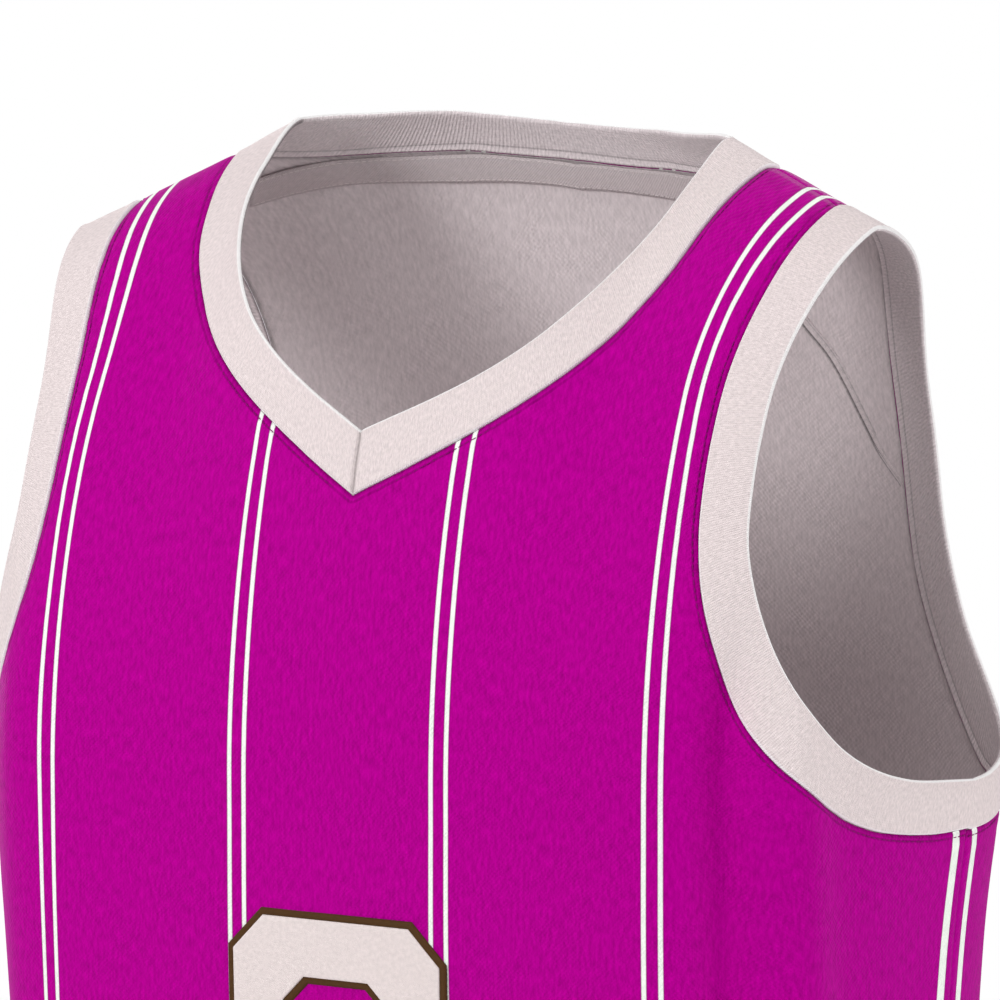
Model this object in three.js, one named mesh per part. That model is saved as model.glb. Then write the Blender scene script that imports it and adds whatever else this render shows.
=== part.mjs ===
// Sleeveless V-neck basketball jersey, filled out as if worn, with nobody in it.
// Millimetres, +Z up, the front faces -Y and the wearer's left is +X.
// The origin lies between the shoulders, where the wearer holds the jersey up.
//
// The cloth is described the way it is cut. "across" is the distance from the centre line, along the
// cloth, and "rise" is the height: 0 at underarm level, ridgeRise at the shoulder ridge, and plain
// millimetres below the underarm. bodySurface() turns a place on the pattern into a point in space.
import * as THREE from 'three';

const size = {
  clothWall: 2.0,
  bandWall: 2.6,
  bandProud: 0.3,
  seamGap: 0.4,
  underarmHeight: -285,
  bodyDrop: 525,
  ridgeRise: 300,
  tapeWidth: 13,
  tapeWall: 1.2,
  layerGap: 0.5,
  twillGap: 0.3,
  twillWall: 0.9,
};

// Shape of one level of the body, going down from the underarm.
const bodySections = [
  { drop: 0, halfWidth: 246, front: 142, back: 112 },
  { drop: 75, halfWidth: 237, front: 142, back: 112 },
  { drop: 200, halfWidth: 231, front: 137, back: 109 },
  { drop: 360, halfWidth: 230, front: 129, back: 105 },
  { drop: 525, halfWidth: 236, front: 127, back: 109 },
];
const frontFlatness = 10;
const backSquareness = 2.85;

// The shoulder ridge, measured from the neck's side outwards.
const ridge = {
  neckReach: 117,
  neckHeight: 4,
  fallPerMm: 0.424,
  neckBack: 8,
  forwardPerMm: 0.43,
  tilt: 5,
  tiltSpan: 170,
  tiltReach: 212,
  backNeckRounding: 60,
};

// How the chest and the upper back curve in to the ridge and round over it, and how the cloth fans
// out near it.
const arch = {
  frontPower: 0.6,
  neckPull: 0.083,
  neckPullAcross: 121,
  neckPullWidth: 35,
  backPower: 0.375,
  frontCrest: 0.3,
  backCrest: 0.45,
  crestPower: 40,
  narrowPower: 1.5,
  gather: 0.972,
  fan: 20,
  fanAcross: 168,
  fanStart: 0.665,
};

// Seams and edges on the pattern.
const neckSeamFront = [
  { across: 0, rise: 116 },
  { across: 29, rise: 135 },
  { across: 63.5, rise: 161.5 },
  { across: 89.5, rise: 186.5 },
  { across: 107.5, rise: 209.5 },
  { across: 119, rise: 230.5 },
  { across: 126.5, rise: 250.5 },
  { across: 130.5, rise: 274.5 },
  { across: 134, rise: 300 },
];
const neckEdgeFront = [
  { across: 0, rise: 141.5 },
  { across: 31, rise: 161.5 },
  { across: 55.5, rise: 180.5 },
  { across: 76, rise: 201 },
  { across: 91.5, rise: 222.5 },
  { across: 102, rise: 242.5 },
  { across: 108.5, rise: 261.5 },
  { across: 110.5, rise: 279 },
  { across: 109, rise: 300 },
];
const neckSeamBack = [
  { across: 0, rise: 255.5 },
  { across: 20, rise: 256.5 },
  { across: 40, rise: 260 },
  { across: 60, rise: 266.5 },
  { across: 80, rise: 273.5 },
  { across: 100, rise: 281.5 },
  { across: 118, rise: 289.5 },
  { across: 130, rise: 296.5 },
  { across: 134, rise: 300 },
];
const neckEdgeBack = [
  { across: 0, rise: 271.5 },
  { across: 20, rise: 273 },
  { across: 40, rise: 277 },
  { across: 60, rise: 284 },
  { across: 78, rise: 290.5 },
  { across: 94, rise: 296 },
  { across: 104, rise: 298.8 },
  { across: 109, rise: 300 },
];
const armSeamFront = [
  { across: 336.5, rise: -17 },
  { across: 312, rise: -17 },
  { across: 285, rise: -14 },
  { across: 265.5, rise: -9.5 },
  { across: 247, rise: -1.5 },
  { across: 231, rise: 11 },
  { across: 211, rise: 33 },
  { across: 193, rise: 65 },
  { across: 180.5, rise: 101.5 },
  { across: 174.5, rise: 137.5 },
  { across: 173.5, rise: 174.5 },
  { across: 174.5, rise: 211 },
  { across: 175, rise: 257 },
  { across: 172, rise: 300 },
];
const armEdgeFront = [
  { across: 338, rise: 10.5 },
  { across: 321, rise: 12 },
  { across: 293, rise: 15.5 },
  { across: 266, rise: 26 },
  { across: 242.5, rise: 43.5 },
  { across: 223, rise: 67 },
  { across: 208, rise: 101 },
  { across: 198, rise: 137.5 },
  { across: 196.5, rise: 174.5 },
  { across: 197.5, rise: 212 },
  { across: 196.5, rise: 262 },
  { across: 193, rise: 300 },
];
const armSeamBack = [
  { across: 304, rise: -18 },
  { across: 282, rise: -17 },
  { across: 255, rise: -12 },
  { across: 236, rise: -4 },
  { across: 221, rise: 4 },
  { across: 203, rise: 29 },
  { across: 187, rise: 63 },
  { across: 177, rise: 97 },
  { across: 174, rise: 130 },
  { across: 174, rise: 170 },
  { across: 175, rise: 215 },
  { across: 174, rise: 257 },
  { across: 172, rise: 300 },
];
const armEdgeBack = [
  { across: 306, rise: 9.5 },
  { across: 288, rise: 11 },
  { across: 262, rise: 21 },
  { across: 236, rise: 42 },
  { across: 213, rise: 73 },
  { across: 202, rise: 104 },
  { across: 197, rise: 137 },
  { across: 197, rise: 171 },
  { across: 198, rise: 206 },
  { across: 197, rise: 245 },
  { across: 195, rise: 275 },
  { across: 193, rise: 300 },
];

// Soft vertical drapes. across is signed, + on the wearer's left; lean is its shift per mm of height.
const folds = [
  { side: 'front', across: 186, lean: 0.04, top: 40, bottom: -300, depth: -3.0, width: 16 },
  { side: 'front', across: 216, lean: 0.06, top: 30, bottom: -420, depth: 3.5, width: 18 },
  { side: 'front', across: -214, lean: 0.05, top: 20, bottom: -380, depth: 3.0, width: 20 },
  { side: 'front', across: 92, lean: 0.05, top: -260, bottom: -600, depth: 4.0, width: 42 },
  { side: 'front', across: -76, lean: 0.06, top: -300, bottom: -600, depth: 3.5, width: 46 },
  { side: 'front', across: -160, lean: -0.03, top: -240, bottom: -600, depth: -5.0, width: 30 },
  { side: 'front', across: 158, lean: -0.04, top: -280, bottom: -600, depth: -4.0, width: 28 },
  { side: 'back', across: 0, lean: 0, top: 120, bottom: -600, depth: -4.0, width: 52 },
  { side: 'back', across: 120, lean: 0.06, top: 60, bottom: -600, depth: 4.5, width: 44 },
  { side: 'back', across: -108, lean: 0.05, top: 80, bottom: -600, depth: 5.0, width: 40 },
  { side: 'back', across: 205, lean: 0.04, top: 0, bottom: -500, depth: -4.0, width: 28 },
  { side: 'back', across: -196, lean: 0.05, top: -20, bottom: -540, depth: -4.5, width: 30 },
];
const foldFade = 90;
const foldSideFade = 40;

// The chest number is a plain block numeral, two layers of twill.
const numeral = {
  topRise: -56,
  height: 170,
  halfWidth: 58,
  stroke: 33,
  corner: 18,
  innerCorner: 10,
  border: 3,
};

const grid = {
  columns: 16,
  columnBunching: 0.45,
  bodyRows: 8,
  frontUnderarmRows: 10,
  frontNeckRows: 12,
  backUpperRows: 20,
  backNeckColumns: 11,
  tapeColumns: 9,
  bandColumns: 3,
  outlineParts: 3,
  ringSteps: 120,
  curveSteps: 240,
};

const colours = {
  magenta: new THREE.MeshStandardMaterial({ color: 0xad028b, roughness: 0.62, metalness: 0 }),
  pale: new THREE.MeshStandardMaterial({ color: 0xeadcde, roughness: 0.85, metalness: 0 }),
  tape: new THREE.MeshStandardMaterial({ color: 0xcfc0c2, roughness: 0.85, metalness: 0 }),
  brown: new THREE.MeshStandardMaterial({ color: 0x50371c, roughness: 0.8, metalness: 0 }),
  twill: new THREE.MeshStandardMaterial({ color: 0xe0d2d1, roughness: 0.8, metalness: 0 }),
};

// Rise taken by one millimetre of cloth at the back of the neck.
const tapeRisePerMm = 0.85;

// How near the side seam, in mm, and the ridge, in rise, a place counts as lying on it.
const onSideSeam = 0.6;
const onRidge = 0.05;

const clamp = THREE.MathUtils.clamp;
const lerp = THREE.MathUtils.lerp;

// Smooth value of one column of bodySections at a drop below the underarm.
function sectionValue(drop, column) {
  const last = bodySections.length - 1;
  const at = clamp(drop, 0, bodySections[last].drop);
  let row = 0;
  while (row < last - 1 && at > bodySections[row + 1].drop) row += 1;
  const slopeAt = (index) => {
    const before = bodySections[Math.max(index - 1, 0)];
    const after = bodySections[Math.min(index + 1, last)];
    return (after[column] - before[column]) / (after.drop - before.drop);
  };
  const low = bodySections[row];
  const high = bodySections[row + 1];
  const span = high.drop - low.drop;
  const t = (at - low.drop) / span;
  const stay = (1 + 2 * t) * (1 - t) ** 2;
  const leave = t * (1 - t) ** 2 * span * slopeAt(row);
  const arrive = t * t * (t - 1) * span * slopeAt(row + 1);
  return stay * low[column] + leave + (1 - stay) * high[column] + arrive;
}

// One level of the body as points with their distance along the cloth, centre line first.
const ringCache = new Map();
function ringAt(side, drop) {
  const key = `${side} ${drop.toFixed(3)}`;
  if (ringCache.has(key)) return ringCache.get(key);
  const halfWidth = sectionValue(drop, 'halfWidth');
  const depth = sectionValue(drop, side);
  const ring = [];
  let along = 0;
  for (let step = 0; step <= grid.ringSteps; step += 1) {
    const reach = 1 - (1 - step / grid.ringSteps) ** 2;
    const inset = side === 'front'
      ? 1 - reach ** frontFlatness
      : (1 - reach ** backSquareness) ** (1 / backSquareness);
    const point = { x: halfWidth * reach, y: depth * inset };
    if (step > 0) along += Math.hypot(point.x - ring[step - 1].x, point.y - ring[step - 1].y);
    ring.push({ ...point, along });
  }
  ringCache.set(key, ring);
  return ring;
}

function ringLength(side, drop) {
  return ringAt(side, drop)[grid.ringSteps].along;
}

function ringPoint(side, drop, across) {
  const ring = ringAt(side, drop);
  const at = clamp(across, 0, ring[grid.ringSteps].along);
  let low = 0;
  let high = grid.ringSteps;
  while (high - low > 1) {
    const middle = (low + high) >> 1;
    if (ring[middle].along <= at) low = middle;
    else high = middle;
  }
  const t = (at - ring[low].along) / (ring[high].along - ring[low].along);
  return { x: lerp(ring[low].x, ring[high].x, t), y: lerp(ring[low].y, ring[high].y, t) };
}

// Where the shoulder ridge is above a place on the pattern, with the sign of the wearer's side. Between
// the shoulders the back's ridge is rounded over, so that the neck runs level across the back.
function ridgePoint(side, across, hand) {
  const x = arch.gather * across + arch.fan * (across / arch.fanAcross) ** 2;
  const rounding = ridge.backNeckRounding;
  const rounded = side === 'back' && x < rounding;
  const roof = rounded ? (x ** 2 + rounding ** 2) / (2 * rounding) : x;
  const tilt = ridge.tilt * Math.sin((Math.PI * Math.min(x, ridge.tiltReach)) / ridge.tiltSpan);
  return {
    y: ridge.neckBack - ridge.forwardPerMm * Math.max(x - ridge.neckReach, 0),
    z: ridge.neckHeight - ridge.fallPerMm * (roof - ridge.neckReach) - hand * tilt,
  };
}

// Height of the drapes above the plain form.
function foldRelief(side, across, rise) {
  let relief = 0;
  for (const fold of folds) {
    if (fold.side !== side) continue;
    const middle = fold.across + fold.lean * (rise - fold.top);
    const fadeIn = THREE.MathUtils.smoothstep(fold.top - rise, 0, foldFade);
    const fadeOut = THREE.MathUtils.smoothstep(rise - fold.bottom, 0, foldFade);
    relief += fold.depth * fadeIn * fadeOut * Math.exp(-(((across - middle) / fold.width) ** 2));
  }
  const seamFade = ringLength(side, 0) - Math.abs(across);
  return relief * THREE.MathUtils.smoothstep(seamFade, 0, foldSideFade);
}

// Point of the plain form at a place on the pattern; across is signed.
function plainSurface(side, across, rise) {
  const hand = across < 0 ? -1 : 1;
  const reach = Math.abs(across);
  const facing = side === 'front' ? -1 : 1;
  if (rise <= 0) {
    const low = ringPoint(side, -rise, reach);
    return new THREE.Vector3(hand * low.x, facing * low.y, size.underarmHeight + rise);
  }
  const base = ringPoint(side, 0, reach);
  const top = ridgePoint(side, reach, hand);
  const level = Math.min(rise / size.ridgeRise, 1);
  const pull = arch.neckPull * Math.exp(-(((reach - arch.neckPullAcross) / arch.neckPullWidth) ** 2));
  const power = side === 'front' ? arch.frontPower + pull : arch.backPower;
  const crest = side === 'front' ? arch.frontCrest : arch.backCrest;
  const curve = (1 - level ** 2) ** power * (1 - crest * level ** arch.crestPower);
  const fanning = Math.max(level - arch.fanStart, 0) / (1 - arch.fanStart);
  const fan = arch.fan * (reach / arch.fanAcross) ** 2 * fanning ** 2;
  const x = lerp(base.x, arch.gather * reach, level ** arch.narrowPower) + fan;
  const y = lerp(top.y, facing * base.y, curve);
  const z = lerp(size.underarmHeight, top.z, level);
  return new THREE.Vector3(hand * x, y, z);
}

function surfaceNormal(side, across, rise) {
  const hand = across < 0 ? -1 : 1;
  const reach = Math.abs(across);
  const sideSeam = ringLength(side, Math.max(-rise, 0));
  if (reach > sideSeam - onSideSeam) return new THREE.Vector3(hand, 0, 0);
  if (rise > size.ridgeRise - onRidge) {
    return new THREE.Vector3(hand * ridge.fallPerMm, 0, 1).normalize();
  }
  const step = 1;
  const middle = Math.min(rise, size.ridgeRise - step / 2);
  const low = plainSurface(side, across, middle - step / 2);
  const high = plainSurface(side, across, middle + step / 2);
  const left = plainSurface(side, across - step, rise);
  const right = plainSurface(side, across + step, rise);
  const normal = right.sub(left).cross(high.sub(low)).normalize();
  return side === 'front' ? normal : normal.negate();
}

// Point of the cloth, lifted along its normal by the drapes and by a given height.
function bodySurface(side, across, rise, lift = 0) {
  const normal = surfaceNormal(side, across, rise);
  const relief = foldRelief(side, across, rise) + lift;
  return plainSurface(side, across, rise).addScaledVector(normal, relief);
}

// A pattern curve as evenly spaced stations, measured along the cloth in space.
function stations(side, rows, count) {
  const spline = new THREE.SplineCurve(rows.map((row) => new THREE.Vector2(row.across, row.rise)));
  const fine = [];
  let along = 0;
  for (let step = 0; step <= grid.curveSteps; step += 1) {
    const place = spline.getPoint(step / grid.curveSteps);
    const point = plainSurface(side, Math.max(place.x, 0), Math.min(place.y, size.ridgeRise));
    if (step > 0) along += point.distanceTo(fine[step - 1].point);
    fine.push({ place, point, along });
  }
  const result = [];
  let index = 0;
  for (let station = 0; station <= count; station += 1) {
    const target = (along * station) / count;
    while (index < grid.curveSteps - 1 && fine[index + 1].along < target) index += 1;
    const here = fine[index];
    const next = fine[index + 1];
    const t = clamp((target - here.along) / (next.along - here.along), 0, 1);
    result.push({
      across: Math.max(lerp(here.place.x, next.place.x, t), 0),
      rise: Math.min(lerp(here.place.y, next.place.y, t), size.ridgeRise),
    });
  }
  return result;
}

// Straight stretch of the centre line, evenly spaced.
function centreLine(side, from, to, count) {
  return stations(side, [{ across: 0, rise: from }, { across: 0, rise: to }], count);
}

// Places on half of the front panel, row by row from the hem to the shoulder ridge. Its rows run from
// the centre line and then the neck seam out to the side seam and then the armhole seam.
function frontPlaces() {
  const upperRows = grid.frontUnderarmRows + grid.frontNeckRows;
  const armSeam = stations('front', armSeamFront, upperRows);
  const centre = centreLine('front', armSeam[0].rise, neckSeamFront[0].rise, grid.frontUnderarmRows);
  const inner = [...centre, ...stations('front', neckSeamFront, grid.frontNeckRows).slice(1)];
  const upper = inner.map((place, row) => rowBetween(place, armSeam[row]));
  return [...bodyPlaces('front', armSeam[0].rise), ...upper];
}

// The same for the back, where the top row is the neck seam and then the shoulder ridge.
function backPlaces() {
  const armSeam = stations('back', armSeamBack, grid.backUpperRows);
  const neckSeam = stations('back', neckSeamBack, grid.backNeckColumns);
  const neckPoint = neckSeam[grid.backNeckColumns];
  const shoulderTip = armSeam[grid.backUpperRows];
  const shoulderColumns = grid.columns - grid.backNeckColumns;
  const top = [...neckSeam];
  for (let column = 1; column <= shoulderColumns; column += 1) {
    top.push(between(neckPoint, shoulderTip, column / shoulderColumns));
  }
  const centre = centreLine('back', armSeam[0].rise, neckSeam[0].rise, grid.backUpperRows);
  centre[grid.backUpperRows - 1].rise = neckSeam[0].rise - size.tapeWidth * tapeRisePerMm;
  const straightTop = rowBetween(centre[grid.backUpperRows], shoulderTip);
  const upper = centre.map((place, row) => {
    const share = (place.rise - centre[0].rise) / (neckSeam[0].rise - centre[0].rise);
    return rowBetween(place, armSeam[row]).map((straight, column) => ({
      across: straight.across + share ** 2 * (top[column].across - straightTop[column].across),
      rise: straight.rise + share ** 2 * (top[column].rise - straightTop[column].rise),
    }));
  });
  return [...bodyPlaces('back', armSeam[0].rise), ...upper];
}

function between(start, end, share) {
  return { across: lerp(start.across, end.across, share), rise: lerp(start.rise, end.rise, share) };
}

// One row of places between its two ends, closer together towards the side, where the body turns.
function rowBetween(inner, outer) {
  const row = [];
  for (let column = 0; column <= grid.columns; column += 1) {
    const share = column / grid.columns;
    const bunched = share + (grid.columnBunching * Math.sin(Math.PI * share)) / Math.PI;
    row.push(between(inner, outer, bunched));
  }
  return row;
}

// Level rows from the hem up to just below the armhole.
function bodyPlaces(side, underarm) {
  const rows = [];
  for (let row = 0; row < grid.bodyRows; row += 1) {
    const rise = lerp(-size.bodyDrop, underarm, row / grid.bodyRows);
    rows.push(rowBetween({ across: 0, rise }, { across: ringLength(side, -rise), rise }));
  }
  return rows;
}

// Outer and inner point of a wall at one place on the pattern.
function wallPoints(side, across, rise, lift, wall) {
  const normal = surfaceNormal(side, across, rise);
  const outer = bodySurface(side, across, rise, lift);
  return [outer, outer.clone().addScaledVector(normal, -wall)];
}

// A cloth wall over one or more patches of [outer, inner] points. Equal points are joined, and every
// edge that only one patch uses is closed by a strip between the two faces.
function clothGeometry(patches) {
  const positions = [];
  const indices = [];
  const known = new Map();
  const edges = new Map();
  const idOf = ([outer, inner]) => {
    const key = outer.toArray().map((value) => value.toFixed(3)).join(' ');
    if (!known.has(key)) {
      known.set(key, positions.length / 3);
      positions.push(...outer.toArray(), ...inner.toArray());
    }
    return known.get(key);
  };
  const quad = (a, b, c, d) => {
    indices.push(a, b, c, a, c, d, a + 1, c + 1, b + 1, a + 1, d + 1, c + 1);
    for (const [from, to] of [[a, b], [b, c], [c, d], [d, a]]) {
      if (!edges.delete(`${to} ${from}`)) edges.set(`${from} ${to}`, [from, to]);
    }
  };
  for (const rows of patches) {
    const ids = rows.map((row) => row.map(idOf));
    for (let row = 0; row < ids.length - 1; row += 1) {
      for (let column = 0; column < ids[row].length - 1; column += 1) {
        quad(ids[row][column], ids[row][column + 1], ids[row + 1][column + 1], ids[row + 1][column]);
      }
    }
  }
  for (const [from, to] of edges.values()) indices.push(from, from + 1, to + 1, from, to + 1, to);
  const geometry = new THREE.BufferGeometry();
  geometry.setAttribute('position', new THREE.Float32BufferAttribute(positions, 3));
  geometry.setIndex(indices);
  return facingOut(geometry);
}

// Turns every face round when a patch was laid out the other way.
function facingOut(geometry) {
  const index = geometry.getIndex();
  const position = geometry.getAttribute('position');
  const corner = [0, 1, 2].map(() => new THREE.Vector3());
  let volume = 0;
  for (let face = 0; face < index.count; face += 3) {
    corner.forEach((point, k) => point.fromBufferAttribute(position, index.getX(face + k)));
    volume += corner[0].dot(corner[1].clone().cross(corner[2]));
  }
  for (let face = 0; volume < 0 && face < index.count; face += 3) {
    const second = index.getX(face + 1);
    index.setX(face + 1, index.getX(face + 2));
    index.setX(face + 2, second);
  }
  geometry.computeVertexNormals();
  return geometry;
}

function piece(name, geometry, material) {
  const mesh = new THREE.Mesh(geometry, material);
  mesh.name = name;
  return mesh;
}

// A panel is its two halves, joined along the centre line below the neck.
function makePanel(name, side, places, material) {
  const apart = (side === 'front' ? -0.5 : 0.5) * size.seamGap;
  const halves = [-1, 1].map((hand) => places.map((row, rowIndex) => row.map(({ across, rise }, column) => {
    const atSide = column === grid.columns && rowIndex <= grid.bodyRows;
    const atRidge = rise > size.ridgeRise - onRidge;
    const pair = wallPoints(side, hand * across, rise, 0, size.clothWall);
    if (atSide || atRidge) pair.forEach((point) => { point.y += apart; });
    return pair;
  })));
  halves[0] = halves[0].map((row) => row.reverse());
  return piece(name, clothGeometry(halves), material);
}

// Cross-section of a band, from just past its seam to its open edge.
function bandRow(side, hand, seam, edge) {
  const row = [];
  const seamPoint = plainSurface(side, hand * seam.across, seam.rise);
  const edgePoint = plainSurface(side, hand * edge.across, edge.rise);
  const gapShare = size.seamGap / seamPoint.distanceTo(edgePoint);
  for (let column = 0; column <= grid.bandColumns; column += 1) {
    const share = lerp(gapShare, 1, column / grid.bandColumns);
    const across = lerp(seam.across, edge.across, share);
    const rise = lerp(seam.rise, edge.rise, share);
    row.push(wallPoints(side, hand * across, rise, size.bandProud, size.bandWall));
  }
  return row;
}

function makeNeckBand(material) {
  const frontSeam = stations('front', neckSeamFront, grid.frontNeckRows);
  const frontEdge = stations('front', neckEdgeFront, grid.frontNeckRows);
  const backSeam = stations('back', neckSeamBack, grid.backNeckColumns);
  const backEdge = stations('back', neckEdgeBack, grid.backNeckColumns);
  const left = frontSeam.map((seam, k) => bandRow('front', 1, seam, frontEdge[k]));
  const back = [1, -1].flatMap((hand) => {
    const half = backSeam.map((seam, k) => bandRow('back', hand, seam, backEdge[k]));
    return hand === 1 ? half.slice(0, -1).reverse() : half.slice(1, -1);
  });
  const right = frontSeam.map((seam, k) => bandRow('front', -1, seam, frontEdge[k])).reverse();
  return piece('neck_band', clothGeometry([[...left, ...back, ...right]]), material);
}

function makeArmholeBand(name, hand, material) {
  const frontCount = grid.frontUnderarmRows + grid.frontNeckRows;
  const frontSeam = stations('front', armSeamFront, frontCount);
  const frontEdge = stations('front', armEdgeFront, frontCount);
  const backSeam = stations('back', armSeamBack, grid.backUpperRows);
  const backEdge = stations('back', armEdgeBack, grid.backUpperRows);
  const front = frontSeam.map((seam, k) => bandRow('front', hand, seam, frontEdge[k]));
  const back = backSeam.map((seam, k) => bandRow('back', hand, seam, backEdge[k])).slice(1, -1).reverse();
  return piece(name, clothGeometry([[...front, ...back, front[0]]]), material);
}

// Tape over the back neck seam, inside the back panel and made from its top two rows.
function makeNeckTape(places, material) {
  const lift = -(size.clothWall + size.layerGap);
  const topRows = places.slice(-2).map((row) => row.slice(0, grid.tapeColumns + 1));
  const halves = [-1, 1].map((hand) => topRows.map((row) => row.map(({ across, rise }) => (
    wallPoints('back', hand * across, rise, lift, size.tapeWall)
  ))));
  halves[0] = halves[0].map((row) => row.reverse());
  return piece('neck_tape', clothGeometry(halves), material);
}

// One chamfered rectangle as evenly parted corner points, clockwise from the top left.
function blockOutline(halfWidth, top, bottom, corner) {
  const left = -halfWidth;
  const right = halfWidth;
  const corners = [
    [left, top - corner], [left + corner, top],
    [0, top],
    [right - corner, top], [right, top - corner],
    [right, (top + bottom) / 2],
    [right, bottom + corner], [right - corner, bottom],
    [0, bottom],
    [left + corner, bottom], [left, bottom + corner],
    [left, (top + bottom) / 2],
  ];
  const points = [];
  corners.forEach(([x, y], k) => {
    const [nextX, nextY] = corners[(k + 1) % corners.length];
    for (let part = 0; part < grid.outlineParts; part += 1) {
      const share = part / grid.outlineParts;
      points.push({ across: lerp(x, nextX, share), rise: lerp(y, nextY, share) });
    }
  });
  return points;
}

// One twill layer of the numeral, a ring between two block outlines, laid on the front panel.
function makeNumeralLayer(name, border, lift, material) {
  const top = numeral.topRise - border;
  const bottom = numeral.topRise - numeral.height + border;
  const stroke = numeral.stroke - 2 * border;
  const halfWidth = numeral.halfWidth - border;
  const outside = blockOutline(halfWidth, top, bottom, numeral.corner);
  const inside = blockOutline(halfWidth - stroke, top - stroke, bottom + stroke, numeral.innerCorner);
  const rows = outside.map((start, k) => [0, 0.5, 1].map((share) => {
    const across = lerp(start.across, inside[k].across, share);
    const rise = lerp(start.rise, inside[k].rise, share);
    return wallPoints('front', across, rise, lift + size.twillWall, size.twillWall);
  }));
  return piece(name, clothGeometry([[...rows, rows[0]]]), material);
}

const group = new THREE.Group();
const backPanelPlaces = backPlaces();
group.add(makePanel('front_panel', 'front', frontPlaces(), colours.magenta));
group.add(makePanel('back_panel', 'back', backPanelPlaces, colours.magenta));
group.add(makeNeckBand(colours.pale));
group.add(makeArmholeBand('armhole_band_left', 1, colours.pale));
group.add(makeArmholeBand('armhole_band_right', -1, colours.pale));
group.add(makeNeckTape(backPanelPlaces, colours.tape));
group.add(makeNumeralLayer('number_backing', 0, size.layerGap, colours.brown));
const faceLift = size.layerGap + size.twillWall + size.twillGap;
group.add(makeNumeralLayer('number_face', numeral.border, faceLift, colours.twill));

export default group;
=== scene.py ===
# %% [markdown]
# # A basketball jersey, filled out with nobody in it
#
# The real jersey is cut from polyester knit: a front, a back, and a folded rib band round the neck and
# round each armhole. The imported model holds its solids. Here each solid gets a finer cloth piece on the
# same form, with the knit, stripes, seams and stitches that a camera sees up close.

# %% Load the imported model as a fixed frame
import math

import bmesh
import bpy
import numpy as np
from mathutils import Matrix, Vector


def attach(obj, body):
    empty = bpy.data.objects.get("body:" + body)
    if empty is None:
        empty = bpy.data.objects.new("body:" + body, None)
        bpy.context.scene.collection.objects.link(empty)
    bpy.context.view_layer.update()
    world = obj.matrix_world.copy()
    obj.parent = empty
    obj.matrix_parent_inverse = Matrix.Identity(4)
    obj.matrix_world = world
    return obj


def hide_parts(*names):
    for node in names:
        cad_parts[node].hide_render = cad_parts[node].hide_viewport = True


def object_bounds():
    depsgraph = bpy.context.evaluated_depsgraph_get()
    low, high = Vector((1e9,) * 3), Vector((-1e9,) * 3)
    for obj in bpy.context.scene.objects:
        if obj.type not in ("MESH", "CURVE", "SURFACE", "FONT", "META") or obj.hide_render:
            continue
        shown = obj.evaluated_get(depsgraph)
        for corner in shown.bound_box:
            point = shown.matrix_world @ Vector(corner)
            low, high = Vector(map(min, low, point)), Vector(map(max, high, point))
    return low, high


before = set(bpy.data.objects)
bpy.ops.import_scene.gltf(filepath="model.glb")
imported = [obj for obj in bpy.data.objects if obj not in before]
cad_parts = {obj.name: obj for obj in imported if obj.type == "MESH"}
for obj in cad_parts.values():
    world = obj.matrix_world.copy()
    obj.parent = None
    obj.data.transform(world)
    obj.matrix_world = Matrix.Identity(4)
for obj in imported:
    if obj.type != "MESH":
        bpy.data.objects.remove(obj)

cad_box = [[float(value) for value in corner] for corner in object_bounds()]
print("the solids span, in metres:", cad_box)

# %% [markdown]
# ## The camera and the light
#
# The jersey is seen from its front, a little to its left side and slightly above, with a long lens. The
# studio is white all round, so the picture's background stays white. A soft lamp at the left front
# models the folds, and broad ones keep both sides, the shoulders and the back readable.

# %% Camera at the photograph's angle
MM = 0.001
AZIMUTH, ELEVATION = math.radians(31), math.radians(5)
CAMERA_DISTANCE = 2.4
FRAME_WIDTH = 0.4651
SENSOR = 36.0
LOOK_AT = np.array([0.0074, -0.0123, -0.1644])

toward_camera = np.array([
    math.sin(AZIMUTH) * math.cos(ELEVATION),
    -math.cos(AZIMUTH) * math.cos(ELEVATION),
    math.sin(ELEVATION),
])
camera_data = bpy.data.cameras.new("camera")
camera_data.sensor_width = SENSOR
camera_data.lens = SENSOR * CAMERA_DISTANCE / FRAME_WIDTH
camera = bpy.data.objects.new("camera", camera_data)
camera.location = LOOK_AT + CAMERA_DISTANCE * toward_camera
camera.rotation_euler = (math.pi / 2 - ELEVATION, 0, AZIMUTH)
scene = bpy.context.scene
scene.collection.objects.link(camera)
scene.camera = camera
scene.view_settings.view_transform = "Standard"
print("lens in millimetres:", round(camera_data.lens, 1))


# %% Lamps and the white studio
def add_lamp(name, azimuth, elevation, distance, width, watts):
    """A square soft lamp that points at the chest."""
    lamp = bpy.data.lights.new(name, "AREA")
    lamp.size = width
    lamp.energy = watts
    thing = bpy.data.objects.new(name, lamp)
    turn, lift = math.radians(azimuth), math.radians(elevation)
    way = np.array([math.sin(turn) * math.cos(lift), -math.cos(turn) * math.cos(lift), math.sin(lift)])
    thing.location = np.array([0, 0, -0.3]) + distance * way
    thing.rotation_euler = (math.pi / 2 - lift, 0, turn)
    scene.collection.objects.link(thing)


add_lamp("key lamp", azimuth=-24, elevation=20, distance=2.6, width=0.9, watts=28)
add_lamp("left rim lamp", azimuth=-122, elevation=8, distance=2.3, width=0.7, watts=30)
add_lamp("fill lamp", azimuth=96, elevation=0, distance=2.8, width=1.5, watts=32)
add_lamp("front lamp", azimuth=10, elevation=10, distance=2.6, width=0.8, watts=6)
add_lamp("top lamp", azimuth=30, elevation=70, distance=2.6, width=1.3, watts=21)
add_lamp("back lamp", azimuth=190, elevation=30, distance=2.8, width=1.8, watts=24)

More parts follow.
